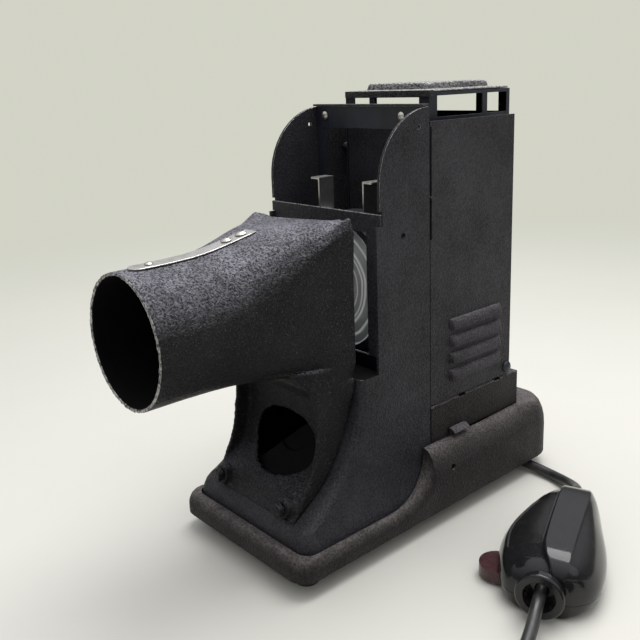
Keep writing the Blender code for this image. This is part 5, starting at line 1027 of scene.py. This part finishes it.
# How far each screw's slot is turned, in radians
BULKHEAD_SCREWS = (("bulkhead_screw_left", 0.5), ("bulkhead_screw_right", -0.9))
STRIP_SCREWS = (("strip_screw_front", 0.35), ("strip_screw_rear", 0.75))
NOSE_TOP_WAY = Vector((0, -0.19, 0.98))


def worn_above(height):
    return lambda edge: edge_centre(edge).z > height


def make_body():
    dress("base_tray", CRINKLE_BASE, 0.0008)
    dress("bottom_plate", CRINKLE_BASE)
    for side in ("front_left", "front_right", "rear_left", "rear_right"):
        dress("foot_" + side, width=0.0008)
    make_housing()
    make_aperture()
    dress("bulkhead", SMOOTH, 0.0004, worn=worn_above(BULKHEAD_WORN_Z))
    for name, turn in BULKHEAD_SCREWS:
        low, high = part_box(name)
        head = Vector(((low.x + high.x) / 2, low.y, (low.z + high.z) / 2))
        slotted(name, head, -ALONG, Vector((math.cos(turn), 0, math.sin(turn))), 0.0004, 0.0009)
    make_nose()
    dress("nose_bolt_left", CAST, 0.0008)
    dress("nose_bolt_right", CAST, 0.0008)
    make_strip()
    dress("lock_pin", STEEL, 0.0004, segments=3)
    for name, turn in STRIP_SCREWS:
        slotted(name, top_of(name), NOSE_TOP_WAY, Vector((math.cos(turn), math.sin(turn), 0)), 0.0009, 0.0011)
    dress("lamp_pan", CRINKLE_BASE, worn=worn_above(PAN_WORN_Z), worn_width=0.0006)
    make_pan_tab()
    dress("socket_bracket", SMOOTH, 0.0003)
    dress("lamp_socket", PORCELAIN, 0.0005)
    dress("lamp_base", BRASS, 0.0002)
    dress("lamp_bulb", GLASS, 0.0)
    dress("mirror", SILVERED, 0.0002)
    dress("mirror_post", SMOOTH, 0.0002)
    dress("cord_clamp", STEEL, 0.0005)


# Where the jacket's front edge stands back from the housing: width, then heights
SEAM_GAP = 0.0017
SEAM_GAPS = ((0.2605, 0.3105), (0.2275, 0.2590))
OVERRUN = Vector((0.001, 0.001, 0.0))
LAMP_CENTRE = Vector((0.0, 0.0995, 0.2))
# The roof's folded edge: its height and sheet, how far it stands before the roof and above its lowest place,
# and its round corners and their return
FLANGE_HEIGHT = 0.0052
FLANGE_SHEET = 0.0011
FLANGE_STAND = 0.0012
FLANGE_ABOVE = 0.0014
FLANGE_ROUND = 0.0035
FLANGE_RETURN = 0.0050
FLANGE_TURNS = (0.0, 0.4, 0.8, 1.2, math.pi / 2)


def make_roof_flange():
    """The roof sheet's folded front edge, which returns round its corners."""
    low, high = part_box("roof")
    x, y, z = high.x + FLANGE_STAND, low.y - FLANGE_STAND, low.z + FLANGE_ABOVE
    inner_x, inner_y = x - FLANGE_ROUND, y + FLANGE_ROUND
    outer = [(-x, y + FLANGE_RETURN)]
    outer += [(-inner_x - FLANGE_ROUND * math.cos(a), inner_y - FLANGE_ROUND * math.sin(a))
              for a in FLANGE_TURNS]
    outer += [(-a, b) for a, b in outer[::-1]]

    def inset(a, b):
        return (a - math.copysign(FLANGE_SHEET, a) * (abs(a) > inner_x), b + FLANGE_SHEET * (b <= inner_y))

    outline = outer + [inset(a, b) for a, b in outer[::-1]]
    sheet = extruded(outline, z - FLANGE_HEIGHT, z, lambda a, b, h: Vector((a, b, h)))
    piece = trim("roof_flange", sheet, "lamp_house", CRINKLE_ROOF)
    shade_smooth(piece)
    round_edges(piece, 0.0004)


def house_shade_faces(face):
    """Whether a face of the lamp house looks at the lamp; such faces get the painted shade."""
    toward = LAMP_CENTRE - face.center
    return Vector((toward.x, toward.y, 0)).normalized().dot(face.normal) > 0.5


def make_lamp_house():
    for side in ("front", "rear", "left", "right"):
        dress("chimney_" + side, CRINKLE if side == "front" else SMOOTH, 0.0004, inside=house_shade_faces)
    dress("roof", CRINKLE_ROOF, 0.0006)
    make_roof_flange()
    for side in ("left", "right"):
        low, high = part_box("jacket_" + side)
        first, last = low - OVERRUN, high + OVERRUN
        gaps = [block((first.x, first.y, start), (last.x, low.y + SEAM_GAP, end)) for start, end in SEAM_GAPS]
        dress("jacket_" + side, CRINKLE_JACKET, 0.0004, cutters=gaps)
        dress("jacket_screw_" + side, SMOOTH, 0.0006)


def make_condenser():
    for name in ("condenser_cell", "condenser_retainer", "lens_spacer"):
        dress(name, SMOOTH, 0.0003)
    dress("front_lens", LENS_GLASS, 0.0)
    dress("rear_lens", GLASS, 0.0)
    for name in ("pull_arm_left", "pull_arm_right"):
        dress(name, width=0.0003, worn=worn_above(ARM_WORN_Z))


make_body()
make_lamp_house()
make_condenser()


# Light, world and floor

BACKGROUND = (0.645, 0.655, 0.565)
SKY_LOW = (0.16, 0.16, 0.155)
SKY_HIGH = (1.25, 1.27, 1.34)
FLOOR_RADIUS = 9.0
FLOOR_CENTRE = (0.05, -0.02, 0.0)
FLOOR_COLOURS = ((0.59, 0.578, 0.522), (0.62, 0.605, 0.543))
# Between these distances from its centre the floor fades into the background
FLOOR_FADE = (0.35, 1.5)
# Each lamp's name, place, aim, width in metres and watts
LAMPS = (("key", (0.0, 0.42, 1.60), (0.02, 0.0, 0.12), 1.3, 22.0),
         ("fill", (1.7, 0.2, 0.9), (0.05, 0.0, 0.15), 1.2, 2.0))


def area_light(name, place, aim, size, power):
    data = bpy.data.lights.new(name, "AREA")
    data.shape = "DISK"
    data.size = size
    data.energy = power
    light = bpy.data.objects.new(name, data)
    bpy.context.scene.collection.objects.link(light)
    light.location = place
    light.rotation_euler = (Vector(aim) - Vector(place)).to_track_quat("-Z", "Y").to_euler()


def make_world():
    """A soft sky that is brighter above; the camera sees the plain background instead."""
    scene = bpy.context.scene
    scene.view_settings.view_transform = "Standard"
    world = bpy.data.worlds.new("studio")
    scene.world = world
    world.use_nodes = True
    tree = world.node_tree
    sky = tree.nodes["Background"]
    height = add(tree, "SeparateXYZ", {0: add(tree, "TexCoord").outputs["Generated"]}).outputs["Z"]
    glow = mix(tree, spread(tree, height, 0.15, 0.95), rgba(SKY_LOW), rgba(SKY_HIGH))
    tree.links.new(glow, sky.inputs["Color"])
    seen = add(tree, "Background", {"Color": rgba(BACKGROUND), "Strength": 1.0})
    share = add(tree, "LightPath").outputs["Is Camera Ray"]
    joined = add(tree, "MixShader", {0: share, 1: sky.outputs[0], 2: seen.outputs[0]})
    tree.links.new(joined.outputs[0], tree.nodes["World Output"].inputs["Surface"])


def make_floor():
    """A pale floor that keeps the projector's shadow."""
    bm = bmesh.new()
    bmesh.ops.create_circle(bm, cap_ends=True, segments=64, radius=FLOOR_RADIUS)
    material, tree, shader, place = new_material("floor", Roughness=0.55)
    away = add(tree, "VectorMath", {0: place, 1: FLOOR_CENTRE}, operation="DISTANCE").outputs["Value"]
    clouds = spread(tree, noise_of(tree, place, 3.0, 4.0, 0.6), 0.3, 0.7)
    tree.links.new(mix(tree, clouds, *map(rgba, FLOOR_COLOURS)), shader.inputs["Base Color"])
    far = add(tree, "Emission", {"Color": rgba(BACKGROUND), "Strength": 1.0})
    share = spread(tree, away, *FLOOR_FADE)
    joined = add(tree, "MixShader", {0: share, 1: shader.outputs[0], 2: far.outputs[0]})
    tree.links.new(joined.outputs[0], tree.nodes["Material Output"].inputs["Surface"])
    built("floor", bm, material)


make_world()
for lamp in LAMPS:
    area_light(*lamp)
make_floor()
